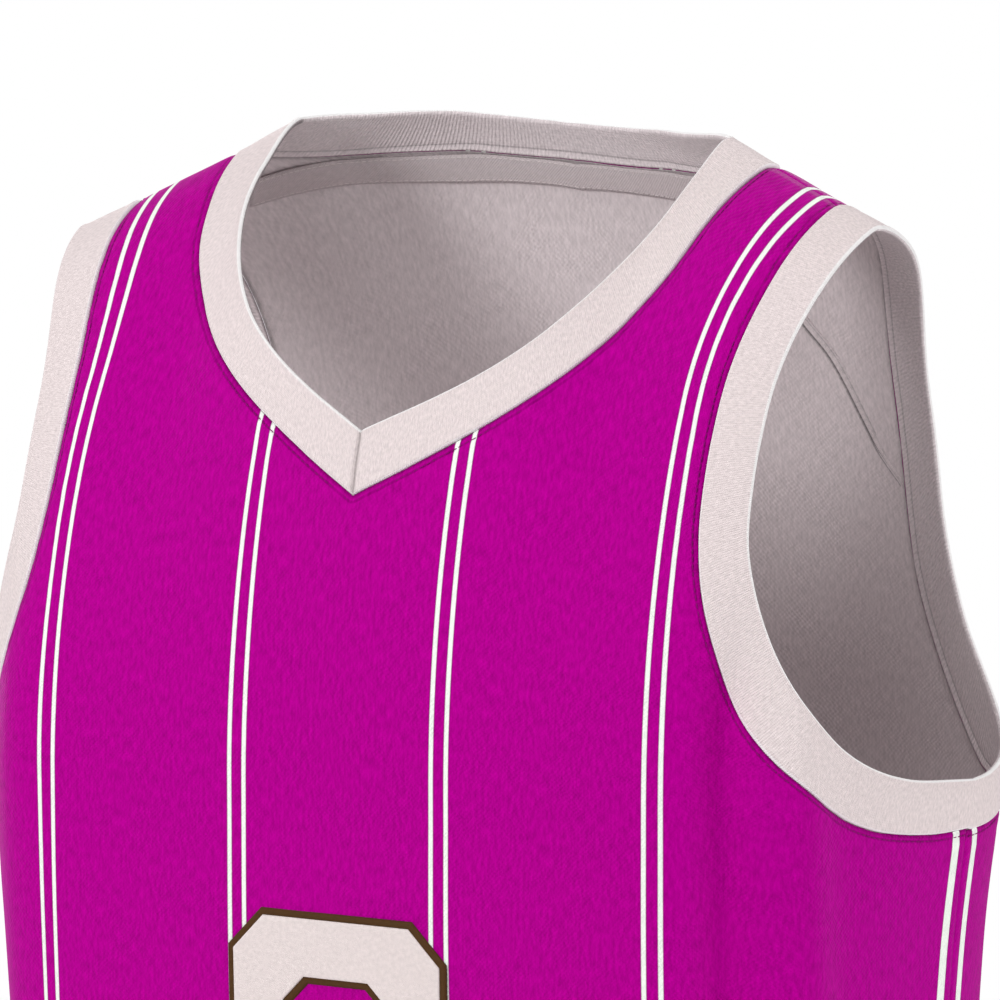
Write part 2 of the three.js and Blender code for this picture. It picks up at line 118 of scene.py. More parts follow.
world = bpy.data.worlds.new("white studio")
world.use_nodes = True
scene.world = world
sky = world.node_tree
ambient = sky.nodes["Background"]
ambient.inputs["Color"].default_value = (1.0, 0.985, 0.985, 1)
ambient.inputs["Strength"].default_value = 0.32
seen = sky.nodes.new("ShaderNodeBackground")
seen.inputs["Color"].default_value = (1, 1, 1, 1)
seen.inputs["Strength"].default_value = 1.0
chooser = sky.nodes.new("ShaderNodeMixShader")
rays = sky.nodes.new("ShaderNodeLightPath")
sky.links.new(rays.outputs["Is Camera Ray"], chooser.inputs[0])
sky.links.new(ambient.outputs[0], chooser.inputs[1])
sky.links.new(seen.outputs[0], chooser.inputs[2])
sky.links.new(chooser.outputs[0], sky.nodes["World Output"].inputs["Surface"])

# %% [markdown]
# ## The form, in the pattern's own coordinates
#
# A cutter thinks of a place on cloth as "so far from the centre line" and "so high". Here `across` is
# that distance along the cloth, + on the wearer's left, and `rise` is 0 at underarm level, 300 at the
# shoulder ridge and plain millimetres below the underarm. The same few named sizes as in the solids
# turn a place on the pattern into a point in space, so every seam, stripe and stitch is laid out flat
# and follows the body by itself.

# %% Sizes of the form, in millimetres
UNDERARM_HEIGHT = -285
BODY_DROP = 525
RIDGE_RISE = 300
# the stitches run at this distance beside each band seam
STITCH_LINE = 2.6
HALF_WIDTH, DEPTH = 1, {"front": 2, "back": 3}
# columns: drop below the underarm, half width, depth to the front, depth to the back
BODY_SECTIONS = np.array([
    [0, 246, 142, 112],
    [75, 237, 142, 112],
    [200, 231, 137, 109],
    [360, 230, 129, 105],
    [525, 236, 127, 109],
], float)
FRONT_FLATNESS, BACK_SQUARENESS = 10, 2.85
NECK_REACH, NECK_HEIGHT, NECK_BACK = 117, 4, 8
RIDGE_FALL, RIDGE_FORWARD = 0.424, 0.43
BACK_NECK_ROUNDING = 60
TILT, TILT_SPAN, TILT_REACH = 5, 170, 212
FRONT_POWER, BACK_POWER = 0.6, 0.375
NECK_PULL, PULL_ACROSS, PULL_WIDTH = 0.083, 121, 35
CREST_PULL, CREST_POWER = {"front": 0.3, "back": 0.45}, 40
GATHER, FAN, FAN_ACROSS, FAN_START = 0.972, 20, 168, 0.665


def section_value(drop, column):
    """Smooth half width or depth of the body at a drop below the underarm."""
    drops, values = BODY_SECTIONS[:, 0], BODY_SECTIONS[:, column]
    last = len(drops) - 1
    at = np.clip(drop, 0, drops[last])
    low = np.clip(np.searchsorted(drops, at, side="right") - 1, 0, last - 1)
    before = np.maximum(np.arange(last + 1) - 1, 0)
    after = np.minimum(np.arange(last + 1) + 1, last)
    slope = (values[after] - values[before]) / (drops[after] - drops[before])
    span = drops[low + 1] - drops[low]
    t = (at - drops[low]) / span
    stay = (1 + 2 * t) * (1 - t) ** 2
    leave = t * (1 - t) ** 2 * span * slope[low]
    arrive = t * t * (t - 1) * span * slope[low + 1]
    return stay * values[low] + leave + (1 - stay) * values[low + 1] + arrive


# %% Rings round the body, measured along the cloth
RING_STEPS = 400
LEVELS = np.linspace(0, BODY_DROP, 106)


def measure_rings(side):
    """For each level: the ring's length, and its reach and inset at even steps along the cloth."""
    reach = 1 - (1 - np.linspace(0, 1, RING_STEPS + 1)) ** 2
    if side == "front":
        inset = 1 - reach**FRONT_FLATNESS
    else:
        inset = np.maximum(1 - reach**BACK_SQUARENESS, 0) ** (1 / BACK_SQUARENESS)
    lengths, reaches, insets = [], [], []
    for level in LEVELS:
        x = section_value(level, HALF_WIDTH) * reach
        y = section_value(level, DEPTH[side]) * inset
        along = np.concatenate([[0], np.cumsum(np.hypot(np.diff(x), np.diff(y)))])
        even = np.linspace(0, along[-1], RING_STEPS + 1)
        lengths.append(along[-1])
        reaches.append(np.interp(even, along, reach))
        insets.append(np.interp(even, along, inset))
    return np.array(lengths), np.array(reaches), np.array(insets)


RINGS = {side: measure_rings(side) for side in ("front", "back")}
print("half ring at the underarm:", {side: round(float(RINGS[side][0][0])) for side in RINGS})


def ring_length(side, drop):
    """Distance along the cloth from the centre line to the side seam."""
    return np.interp(drop, LEVELS, RINGS[side][0])


def between_cells(table, row, column):
    """Value of a table between its rows and columns."""
    r = np.clip(row.astype(int), 0, table.shape[0] - 2)
    c = np.clip(column.astype(int), 0, table.shape[1] - 2)
    down, right = row - r, column - c
    low = table[r, c] * (1 - right) + table[r, c + 1] * right
    high = table[r + 1, c] * (1 - right) + table[r + 1, c + 1] * right
    return low * (1 - down) + high * down


def ring_point(side, drop, reach):
    """How far out and how deep the ring is at a distance along the cloth."""
    _, reaches, insets = RINGS[side]
    column = np.clip(reach / ring_length(side, drop), 0, 1) * RING_STEPS
    row = np.clip(drop / BODY_DROP, 0, 1) * (len(LEVELS) - 1)
    out = section_value(drop, HALF_WIDTH) * between_cells(reaches, row, column)
    deep = section_value(drop, DEPTH[side]) * between_cells(insets, row, column)
    return out, deep


# %% From the pattern to the body
def ridge_point(side, reach, hand):
    """Depth and height of the shoulder ridge above a place on the pattern."""
    x = GATHER * reach + FAN * (reach / FAN_ACROSS) ** 2
    forward = RIDGE_FORWARD * np.maximum(x - NECK_REACH, 0)
    tilt = TILT * np.sin(math.pi * np.minimum(x, TILT_REACH) / TILT_SPAN)
    rounded = (x**2 + BACK_NECK_ROUNDING**2) / (2 * BACK_NECK_ROUNDING)
    roof = np.where((side == "back") & (x < BACK_NECK_ROUNDING), rounded, x)
    return NECK_BACK - forward, NECK_HEIGHT - RIDGE_FALL * (roof - NECK_REACH) - hand * tilt


def plain_surface(side, across, rise):
    """Point of the plain form, in millimetres."""
    across, rise = np.broadcast_arrays(np.asarray(across, float), np.asarray(rise, float))
    hand, reach = np.where(across < 0, -1.0, 1.0), np.abs(across)
    facing = -1 if side == "front" else 1
    ring_x, ring_y = ring_point(side, np.maximum(-rise, 0), reach)
    ridge_y, ridge_z = ridge_point(side, reach, hand)
    level = np.clip(rise / RIDGE_RISE, 0, 1)
    if side == "front":
        power = FRONT_POWER + NECK_PULL * np.exp(-(((reach - PULL_ACROSS) / PULL_WIDTH) ** 2))
    else:
        power = BACK_POWER
    curve = (1 - level**2) ** power * (1 - CREST_PULL[side] * level**CREST_POWER)
    fanning = np.maximum(level - FAN_START, 0) / (1 - FAN_START)
    fan = FAN * (reach / FAN_ACROSS) ** 2 * fanning**2
    x = ring_x + (GATHER * reach - ring_x) * level**1.5 + fan
    y = ridge_y + (facing * ring_y - ridge_y) * curve
    z = UNDERARM_HEIGHT + (ridge_z - UNDERARM_HEIGHT) * level + np.minimum(rise, 0)
    return np.stack([hand * x, y, z], axis=-1)


def smooth_step(value, low, high):
    """Smoothly from 0 to 1 while a value goes from low to high."""
    t = np.clip((value - low) / (high - low), 0, 1)
    return t * t * (3 - 2 * t)


def unit(vectors):
    """The same directions with a length of 1."""
    return vectors / np.maximum(np.linalg.norm(vectors, axis=-1, keepdims=True), 1e-9)


SIDE_BLEND = 12


def surface_normal(side, across, rise):
    """Outward direction of the plain form."""
    across, rise = np.broadcast_arrays(np.asarray(across, float), np.asarray(rise, float))
    step = np.clip((RIDGE_RISE - rise) / 4, 0.02, 0.5)
    middle = np.minimum(rise, RIDGE_RISE - step)
    up = plain_surface(side, across, middle + step) - plain_surface(side, across, middle - step)
    over = plain_surface(side, across + 0.5, middle) - plain_surface(side, across - 0.5, middle)
    normal = unit(np.cross(over, up)) * (1 if side == "front" else -1)
    sideways = np.zeros_like(normal)
    sideways[..., 0] = np.where(across < 0, -1, 1)
    to_seam = ring_length(side, np.maximum(-rise, 0)) - np.abs(across)
    share = smooth_step(to_seam, 0, SIDE_BLEND)[..., None]
    return unit(normal * share + sideways * (1 - share))


# %% [markdown]
# ## Drapes
#
# Filled-out knit hangs nearly smooth. What shows is a few long, soft drapes: a hollow and a ridge under
# the left armhole, fainter ones under the right, and broad ones towards the hem. Each is one row of a
# table. The two under the left armhole are deeper and start higher than in the solids, and the first one
# of the right side is here alone. The others are those of the solids.

# %% The drapes
# columns: middle across, lean per mm of height, top, bottom, depth, width
FRONT_FOLDS = [
    (192, 0.0, 135, -320, -11.0, 13),
    (219, -0.06, 115, -420, 8.5, 16),
    (-176, 0.06, 110, -260, 2.5, 16),
    (-214, 0.05, 20, -380, 3.0, 20),
    (92, 0.05, -260, -600, 4.0, 42),
    (-76, 0.06, -300, -600, 3.5, 46),
    (-160, -0.03, -240, -600, -5.0, 30),
    (158, -0.04, -280, -600, -4.0, 28),
]
BACK_FOLDS = [
    (0, 0, 120, -600, -4.0, 52),
    (120, 0.06, 60, -600, 4.5, 44),
    (-108, 0.05, 80, -600, 5.0, 40),
    (205, 0.04, 0, -500, -4.0, 28),
    (-196, 0.05, -20, -540, -4.5, 30),
]
FOLD_FADE = 90
SIDE_FADE = 40


def fold_relief(side, across, rise):
    """Height of the drapes above the plain form."""
    relief = np.zeros(np.broadcast(across, rise).shape)
    for middle, lean, top, bottom, depth, width in FRONT_FOLDS if side == "front" else BACK_FOLDS:
        away = (across - middle - lean * (rise - top)) / width
        fade = smooth_step(top - rise, 0, FOLD_FADE) * smooth_step(rise - bottom, 0, FOLD_FADE)
        relief += depth * fade * np.exp(-(away**2))
    return relief * smooth_step(ring_length(side, 0) - np.abs(across), 0, SIDE_FADE)


SHOULDER_SWELL, SWELL_ACROSS, SWELL_WIDTH, SWELL_START = 2.0, 140, 20, 250


def shoulder_relief(across, rise):
    """The left shoulder stands up a little beside the neck seam."""
    near_ridge = smooth_step(np.asarray(rise, float), SWELL_START, RIDGE_RISE)
    return SHOULDER_SWELL * np.exp(-(((across - SWELL_ACROSS) / SWELL_WIDTH) ** 2)) * near_ridge


def surface_point(side, across, rise, lift=0.0):
    """Point of the cloth in millimetres, raised from the form by the drapes and by a given height."""
    height = fold_relief(side, across, rise) + shoulder_relief(across, rise) + lift
    return plain_surface(side, across, rise) + surface_normal(side, across, rise) * height[..., None]


# %% [markdown]
# ## Seam lines on the pattern
#
# Each seam and each open edge is a short list of places on the flat pattern with a smooth curve
# through them. `stations` parts such a curve evenly by its real length on the body.

# %% The seams and edges
# columns: across, rise
NECK_SEAM = {
    "front": [(0, 116), (29, 135), (63.5, 161.5), (89.5, 186.5), (107.5, 209.5), (119, 230.5),
              (126.5, 250.5), (130.5, 274.5), (134, 300)],
    "back": [(0, 255.5), (20, 256.5), (40, 260), (60, 266.5), (80, 273.5), (100, 281.5), (118, 289.5),
             (130, 296.5), (134, 300)],
}
NECK_EDGE = {
    "front": [(0, 141.5), (31, 161.5), (55.5, 180.5), (76, 201), (91.5, 222.5), (102, 242.5),
              (108.5, 261.5), (110.5, 279), (109, 300)],
    "back": [(0, 271.5), (20, 273), (40, 277), (60, 284), (78, 290.5), (94, 296), (104, 298.8),
             (109, 300)],
}
ARM_SEAM = {
    "front": [(336.5, -17), (312, -17), (285, -14), (265.5, -9.5), (247, -1.5), (231, 11), (211, 33),
              (193, 65), (180.5, 101.5), (174.5, 137.5), (173.5, 174.5), (174.5, 211), (175, 257),
              (172, 300)],
    "back": [(304, -18), (282, -17), (255, -12), (236, -4), (221, 4), (203, 29), (187, 63), (177, 97),
             (174, 130), (174, 170), (175, 215), (174, 257), (172, 300)],
}
ARM_EDGE = {
    "front": [(338, 10.5), (321, 12), (293, 15.5), (266, 26), (242.5, 43.5), (223, 67), (208, 101),
              (198, 137.5), (196.5, 174.5), (197.5, 212), (196.5, 262), (193, 300)],
    "back": [(306, 9.5), (288, 11), (262, 21), (236, 42), (213, 73), (202, 104), (197, 137),
             (197, 171), (198, 206), (197, 245), (195, 275), (193, 300)],
}


def smooth_curve(places, steps=900):
    """Smooth curve through places on the pattern."""
    p = np.array(places, float)
    t = np.linspace(0, len(p) - 1, steps + 1)
    i = np.minimum(t.astype(int), len(p) - 2)
    f = (t - i)[:, None]
    before, here = p[np.maximum(i - 1, 0)], p[i]
    there, after = p[i + 1], p[np.minimum(i + 2, len(p) - 1)]
    leave, arrive = (there - before) / 2, (after - here) / 2
    bend = (2 * here - 2 * there + leave + arrive) * f**3
    ease = (3 * there - 3 * here - 2 * leave - arrive) * f**2
    curve = bend + ease + leave * f + here
    return np.stack([np.maximum(curve[:, 0], 0), np.minimum(curve[:, 1], RIDGE_RISE)], axis=1)


def stations(side, places, shares):
    """Places at given shares of a pattern curve's real length, and that length."""
    fine = smooth_curve(places)
    points = plain_surface(side, fine[:, 0], fine[:, 1])
    along = np.concatenate([[0], np.cumsum(np.linalg.norm(np.diff(points, axis=0), axis=1))])
    at = np.asarray(shares) * along[-1]
    return np.stack([np.interp(at, along, fine[:, 0]), np.interp(at, along, fine[:, 1])], axis=1), along[-1]


for name, seam in (("neck", NECK_SEAM), ("armhole", ARM_SEAM)):
    print(name, "seam, half front and half back:", [round(stations(s, seam[s], [0])[1]) for s in seam])

# %% [markdown]
# ## Shader groups that the cloths share
#
# Knit, rib and thread all need a fine repeating height and a little unevenness of colour. Each effect
# is one node group with named inputs, so that a cloth only states its own values. The groups read the
# pattern's coordinates from a UV map in metres, so a stitch has its real size everywhere.


# %% Small helpers for node trees
def node(tree, kind, inputs=None, **settings):
    """Adds a node. An input is a value or another node's output socket."""
    made = tree.nodes.new(kind)
    for name, value in settings.items():
        setattr(made, name, value)
    for name, value in (inputs or {}).items():
        if isinstance(value, bpy.types.NodeSocket):
            tree.links.new(value, made.inputs[name])
        else:
            made.inputs[name].default_value = value
    return made


def maths(tree, operation, first, second=0.0, third=0.0):
    """One Math node's result."""
    inputs = {0: first, 1: second, 2: third}
    return node(tree, "ShaderNodeMath", inputs, operation=operation).outputs[0]


def ramp(tree, value, low, high, start=0.0, end=1.0):
    """Smoothly from start to end while value goes from low to high."""
    inputs = {"Value": value, "From Min": low, "From Max": high, "To Min": start, "To Max": end}
    return node(tree, "ShaderNodeMapRange", inputs, interpolation_type="SMOOTHSTEP").outputs["Result"]


def mix_colour(tree, factor, first, second, blend="MIX"):
    """One Mix node's colour."""
    made = node(tree, "ShaderNodeMix", data_type="RGBA", blend_type=blend)
    for index, value in ((0, factor), (6, first), (7, second)):
        if isinstance(value, bpy.types.NodeSocket):
            tree.links.new(value, made.inputs[index])
        else:
            made.inputs[index].default_value = value
    return made.outputs[2]


def new_group(name, inputs, outputs):
    """An empty node group with named float inputs and outputs."""
    tree = bpy.data.node_groups.new(name, "ShaderNodeTree")
    for socket, default in inputs.items():
        made = tree.interface.new_socket(socket, in_out="INPUT", socket_type="NodeSocketFloat")
        made.default_value = default
    for socket in outputs:
        tree.interface.new_socket(socket, in_out="OUTPUT", socket_type="NodeSocketFloat")
    return tree, tree.nodes.new("NodeGroupInput"), tree.nodes.new("NodeGroupOutput")


def use_group(tree, group, **values):
    """Puts a shared group into a material, with its own values."""
    made = tree.nodes.new("ShaderNodeGroup")
    made.node_tree = group
    for name, value in values.items():
        socket = made.inputs[name.replace("_", " ")]
        if isinstance(value, bpy.types.NodeSocket):
            tree.links.new(value, socket)
        else:
            socket.default_value = value
    return made


def vector_of(tree, x, y, z=0.0):
    """Three values as one vector."""
    return node(tree, "ShaderNodeCombineXYZ", {0: x, 1: y, 2: z}).outputs[0]


def noise(tree, x, y, scale, detail=3.0):
    """A noise texture over the flat pattern."""
    inputs = {"Vector": vector_of(tree, x, y), "Scale": scale, "Detail": detail}
    return node(tree, "ShaderNodeTexNoise", inputs)


def wave(tree, distance, turns):
    """A cosine wave along a distance."""
    return maths(tree, "COSINE", maths(tree, "MULTIPLY", distance, turns))


def mark_of(tree, name):
    """The value that a piece stores at its points under a name."""
    return node(tree, "ShaderNodeAttribute", attribute_name=name).outputs["Fac"]


# %% [markdown]
# The body's knit shows as small staggered dots, about 2.4 mm apart, with fine wales running down
# inside them. Two crossed waves give the dots, and noise keeps them from looking printed.

# %% Group: dotted knit
dotted_knit, group_in, group_out = new_group(
    "dotted knit",
    {"across": 0, "rise": 0, "pitch": 0.0024, "wale": 0.0008},
    ["height", "shade"],
)
WANDER = 0.0026
WALE_HEIGHT = 0.3
# the dots' tone follows their height and is painted shade of the knit's relief; the streaks are random tone
DOT_SHADE, STREAK_SHADE = 0.055, 0.95
STREAK_STRETCH = 3.2
flat_x, flat_y = group_in.outputs["across"], group_in.outputs["rise"]
wander = noise(dotted_knit, flat_x, flat_y, 160.0, 2.0)
wander_parts = node(dotted_knit, "ShaderNodeSeparateXYZ", {0: wander.outputs["Color"]})
across_drift = maths(dotted_knit, "MULTIPLY_ADD", wander_parts.outputs[0], WANDER, -WANDER / 2)
rise_drift = maths(dotted_knit, "MULTIPLY_ADD", wander_parts.outputs[1], WANDER, -WANDER / 2)
across = maths(dotted_knit, "ADD", flat_x, across_drift)
rise = maths(dotted_knit, "ADD", flat_y, rise_drift)
turns = maths(dotted_knit, "DIVIDE", 2 * math.pi, group_in.outputs["pitch"])
dots = maths(dotted_knit, "MULTIPLY", wave(dotted_knit, across, turns), wave(dotted_knit, rise, turns))
wale_turns = maths(dotted_knit, "DIVIDE", 2 * math.pi, group_in.outputs["wale"])
wales = wave(dotted_knit, across, wale_turns)
patchy = noise(dotted_knit, flat_x, flat_y, 45.0)
strength = ramp(dotted_knit, patchy.outputs["Fac"], 0.3, 0.7, 0.25, 1.0)
dots = maths(dotted_knit, "MULTIPLY", dots, strength)
height = maths(dotted_knit, "MULTIPLY_ADD", wales, WALE_HEIGHT, dots)
streak_x = maths(dotted_knit, "MULTIPLY", flat_x, STREAK_STRETCH)
streaks = noise(dotted_knit, streak_x, flat_y, 190.0)
uneven = maths(dotted_knit, "SUBTRACT", streaks.outputs["Fac"], 0.5)
streaked = maths(dotted_knit, "MULTIPLY", uneven, STREAK_SHADE)
shade = maths(dotted_knit, "MULTIPLY_ADD", dots, DOT_SHADE, streaked)
dotted_knit.links.new(height, group_out.inputs["height"])
dotted_knit.links.new(shade, group_out.inputs["shade"])
print("dotted knit group has", len(dotted_knit.nodes), "nodes")

# %% [markdown]
# The bands are fine rib: narrow ridges that run across the band, with a heathered look from uneven
# yarn. `along` is the distance round the band.

# %% Group: fine rib
fine_rib, group_in, group_out = new_group(
    "fine rib",
    {"along": 0, "over": 0, "pitch": 0.0011, "waver": 0.001},
    ["height", "shade"],
)
LOOPS_PER_RIB, LOOP_HEIGHT = 1.3, 0.4
# the ribs' tone follows their height and is painted shade of the rib's relief; the heather is random tone
RIB_SHADE, HEATHER_SHADE, HEATHER_STRETCH = 0.025, 0.75, 2.0
along, over = group_in.outputs["along"], group_in.outputs["over"]
rib_turns = maths(fine_rib, "DIVIDE", 2 * math.pi, group_in.outputs["pitch"])
bend = noise(fine_rib, along, over, 120.0, 2.0)
wavering = maths(fine_rib, "MULTIPLY", bend.outputs["Fac"], group_in.outputs["waver"])
ribs = wave(fine_rib, maths(fine_rib, "ADD", wavering, along), rib_turns)
loops = wave(fine_rib, over, maths(fine_rib, "MULTIPLY", rib_turns, LOOPS_PER_RIB))
height = maths(fine_rib, "MULTIPLY_ADD", loops, LOOP_HEIGHT, ribs)
heather = noise(fine_rib, maths(fine_rib, "MULTIPLY", along, HEATHER_STRETCH), over, 430.0)
uneven = maths(fine_rib, "SUBTRACT", heather.outputs["Fac"], 0.5)
heathery = maths(fine_rib, "MULTIPLY", uneven, HEATHER_SHADE)
shade = maths(fine_rib, "MULTIPLY_ADD", ribs, RIB_SHADE, heathery)
fine_rib.links.new(height, group_out.inputs["height"])
fine_rib.links.new(shade, group_out.inputs["shade"])
print("fine rib group has", len(fine_rib.nodes), "nodes")

# %% [markdown]
# Pairs of thin pale lines run down the body. A pair repeats every 107 mm, two on each side of the
# centre line, and one thicker line runs down each side of a side seam. The group folds the pattern onto
# one pair and measures the distance to its two lines.

# %% Group: pinstripe pairs
pinstripes, group_in, group_out = new_group(
    "pinstripe pairs",
    {"across": 0, "from side": 1, "pitch": 0.107, "gap": 0.0078, "width": 0.0022, "reach": 0.2,
     "side line": 0.0083, "side width": 0.005},
    ["line", "halo"],
)
SOFT_EDGE = 0.0003
HALO = 0.0011
reach = maths(pinstripes, "ABSOLUTE", group_in.outputs["across"])
folded = maths(pinstripes, "MODULO", reach, group_in.outputs["pitch"])
half_pitch = maths(pinstripes, "MULTIPLY", group_in.outputs["pitch"], 0.5)
from_pair = maths(pinstripes, "SUBTRACT", folded, half_pitch)
from_side = maths(pinstripes, "SUBTRACT", group_in.outputs["from side"], group_in.outputs["side line"])


def one_line(distance, width):
    """Masks of a line and of the thin halo beside it."""
    edge = maths(pinstripes, "MULTIPLY_ADD", width, -0.5, maths(pinstripes, "ABSOLUTE", distance))
    return ramp(pinstripes, edge, -SOFT_EDGE, SOFT_EDGE, 1, 0), ramp(pinstripes, edge, 0, HALO, 1, 0)


half_gap = maths(pinstripes, "MULTIPLY", group_in.outputs["gap"], 0.5)
from_line = maths(pinstripes, "SUBTRACT", maths(pinstripes, "ABSOLUTE", from_pair), half_gap)
within = maths(pinstripes, "LESS_THAN", reach, group_in.outputs["reach"])
line, halo = one_line(from_line, group_in.outputs["width"])
side_line, side_halo = one_line(from_side, group_in.outputs["side width"])
line = maths(pinstripes, "MULTIPLY_ADD", line, within, side_line)
halo = maths(pinstripes, "MULTIPLY_ADD", halo, within, side_halo)
pinstripes.links.new(line, group_out.inputs["line"])
pinstripes.links.new(halo, group_out.inputs["halo"])
print("pinstripe group has", len(pinstripes.nodes), "nodes")

# %% [markdown]
# ## The materials
#
# Every cloth is a rough dielectric with almost no mirror shine. The body's dye is so strong that a
# normal amount of shine would grey it, so its specular level is low, and a faint sheen lightens only
# the parts that turn away.


# %% Colours and a base for the cloths
def srgb(red, green, blue):
    """A colour as picked on a screen, 0 to 255, as the shader's linear values."""
    parts = np.array([red, green, blue]) / 255
    linear = np.where(parts <= 0.04045, parts / 12.92, ((parts + 0.055) / 1.055) ** 2.4)
    return (*map(float, linear), 1.0)


MAGENTA = srgb(181, 0, 145)
STRIPE = srgb(250, 255, 248)
BAND = srgb(233, 220, 220)
LINING = srgb(222, 211, 213)
TAPE = srgb(206, 194, 196)
TWILL = srgb(236, 224, 222)
BROWN = srgb(84, 57, 30)
PLUM_THREAD = srgb(138, 0, 110)
DEEP_DYE = srgb(112, 0, 96)


def new_material(name, roughness, specular, sheen=0.0):
    """A material with its Principled shader, and the across and rise sockets of the pattern."""
    material = bpy.data.materials.new(name)
    material.use_nodes = True
    tree = material.node_tree
    shader = tree.nodes["Principled BSDF"]
    shader.inputs["Roughness"].default_value = roughness
    shader.inputs["Specular IOR Level"].default_value = specular
    shader.inputs["Sheen Weight"].default_value = sheen
    shader.inputs["Sheen Roughness"].default_value = 0.4
    pattern = node(tree, "ShaderNodeUVMap", uv_map="pattern")
    parts = node(tree, "ShaderNodeSeparateXYZ", {0: pattern.outputs[0]})
    return material, tree, shader, parts.outputs[0], parts.outputs[1]


def tint(tree, colour, shade):
    """A colour made lighter or darker by a shade around 0."""
    factor = maths(tree, "ADD", shade, 1.0)
    return mix_colour(tree, 1.0, colour, vector_of(tree, factor, factor, factor), blend="MULTIPLY")


def bump(tree, shader, height, depth, strength=1.0):
    """Raises the surface's shading by a height, its depth in metres."""
    inputs = {"Height": height, "Distance": depth, "Strength": strength}
    made = node(tree, "ShaderNodeBump", inputs)
    tree.links.new(made.outputs[0], shader.inputs["Normal"])


# %% Body knit, with its stripes
body_knit, tree, shader, across, rise = new_material("body knit", 0.5, 0.01, sheen=0.05)
knit = use_group(tree, dotted_knit, across=across, rise=rise)
from_side = mark_of(tree, "from_side")
stripes = use_group(tree, pinstripes, across=across, from_side=maths(tree, "MULTIPLY", from_side, MM))
near_seam = mark_of(tree, "seam")
# painted shadow: the magenta is darkened right at each band seam, where shade falls between band and panel
painted_seam_shadow = ramp(tree, near_seam, 0.0, 2.2, -0.42, 0.0)
from_stitches = maths(tree, "ABSOLUTE", maths(tree, "SUBTRACT", near_seam, STITCH_LINE))
# painted shade: a thin dark line along the groove of the stitch line beside each band seam
painted_stitch_shade = ramp(tree, from_stitches, 0.2, 0.9, -0.3, 0.0)
shade = maths(tree, "ADD", maths(tree, "MULTIPLY", knit.outputs["shade"], 0.9), painted_seam_shadow)
shade = maths(tree, "ADD", shade, painted_stitch_shade)
dyed = tint(tree, MAGENTA, shade)
dyed = mix_colour(tree, maths(tree, "MULTIPLY", stripes.outputs["halo"], 0.45), dyed, DEEP_DYE)
printed = tint(tree, STRIPE, maths(tree, "MULTIPLY", knit.outputs["shade"], 0.3))
coloured = mix_colour(tree, stripes.outputs["line"], dyed, printed)
tree.links.new(coloured, shader.inputs["Base Color"])
bump(tree, shader, knit.outputs["height"], 0.00016, 0.9)

# %% Inside of the body, undyed
inside_knit, tree, shader, across, rise = new_material("inside knit", 0.85, 0.12)
knit = use_group(tree, dotted_knit, across=across, rise=rise, pitch=0.0028)
knit_shade = maths(tree, "MULTIPLY", knit.outputs["shade"], 0.6)
shade = maths(tree, "SUBTRACT", knit_shade, mark_of(tree, "shadow"))
tree.links.new(tint(tree, LINING, shade), shader.inputs["Base Color"])
bump(tree, shader, knit.outputs["height"], 0.00014, 0.9)

# %% Rib of the bands, with a painted highlight along both edges
band_rib, tree, shader, along, over = new_material("band rib", 0.85, 0.15)
rib = use_group(tree, fine_rib, along=along, over=over)
# painted highlight: the band's colour goes towards white within about a millimetre of both edges
painted_edge_highlight = ramp(tree, mark_of(tree, "rim"), 0.6, 1.4, 0.8, 0.0)
rib_shade = maths(tree, "MULTIPLY", rib.outputs["shade"], 0.75)
shade = maths(tree, "SUBTRACT", rib_shade, mark_of(tree, "shadow"))
heathered = tint(tree, BAND, shade)
tree.links.new(mix_colour(tree, painted_edge_highlight, heathered, srgb(255, 255, 255)), shader.inputs["Base Color"])
bump(tree, shader, rib.outputs["height"], 0.00010, 0.8)

# %% Inside of the bands, with plainer ribs
band_inside, tree, shader, along, over = new_material("band rib inside", 0.88, 0.12)
rib = use_group(tree, fine_rib, along=along, over=over, pitch=0.0021, waver=0.0003)
shade = maths(tree, "SUBTRACT", rib.outputs["shade"], mark_of(tree, "shadow"))
tree.links.new(tint(tree, LINING, shade), shader.inputs["Base Color"])
bump(tree, shader, rib.outputs["height"], 0.00013, 0.9)


# %% Twills, tape and threads
def make_twill(name, colour, pitch, depth, roughness=0.8):
    """Cloth of fine diagonal lines."""
    material, tree, shader, across, rise = new_material(name, roughness, 0.15)
    lines = wave(tree, maths(tree, "ADD", across, rise), 2 * math.pi / pitch)
    fleck = noise(tree, across, rise, 500.0)
    uneven = maths(tree, "MULTIPLY_ADD", fleck.outputs["Fac"], 0.3, -0.15)
    # the lines' tone follows the bump and is painted shade of the twill's relief; the flecks are random
    # tone
    shade = maths(tree, "MULTIPLY_ADD", lines, 0.02, uneven)
    tree.links.new(tint(tree, colour, shade), shader.inputs["Base Color"])
    bump(tree, shader, lines, depth)
    return material


def make_thread(name, colour, pitch):
    """Twisted thread: short slanting bands along each stitch."""
    material, tree, shader, along, around = new_material(name, 0.6, 0.2)
    slant = maths(tree, "ADD", maths(tree, "MULTIPLY", along, 2 * math.pi / pitch), around)
    twist = maths(tree, "COSINE", slant)
    # painted shade: the twist's tone follows its bump, lighter on the plies and darker between them
    tree.links.new(tint(tree, colour, maths(tree, "MULTIPLY", twist, 0.12)), shader.inputs["Base Color"])
    bump(tree, shader, twist, 0.00005)
    return material


number_twill = make_twill("number twill", TWILL, 0.0009, 0.00006)
backing_twill = make_twill("backing twill", BROWN, 0.0008, 0.00008)
tape_twill = make_twill("neck tape", TAPE, 0.0015, 0.00010)
plum_thread = make_thread("plum thread", PLUM_THREAD, 0.0006)
pale_thread = make_thread("pale thread", srgb(232, 222, 222), 0.0006)
print("materials:", sorted(material.name for material in bpy.data.materials))


# %% [markdown]
# ## Making cloth pieces
#
# A piece is a grid of places on the pattern, turned into points on the body. One helper makes the mesh,
# stores the pattern coordinates in metres as a UV map for the shaders, and lets the piece ride on the
# object's only body in place of its solid.


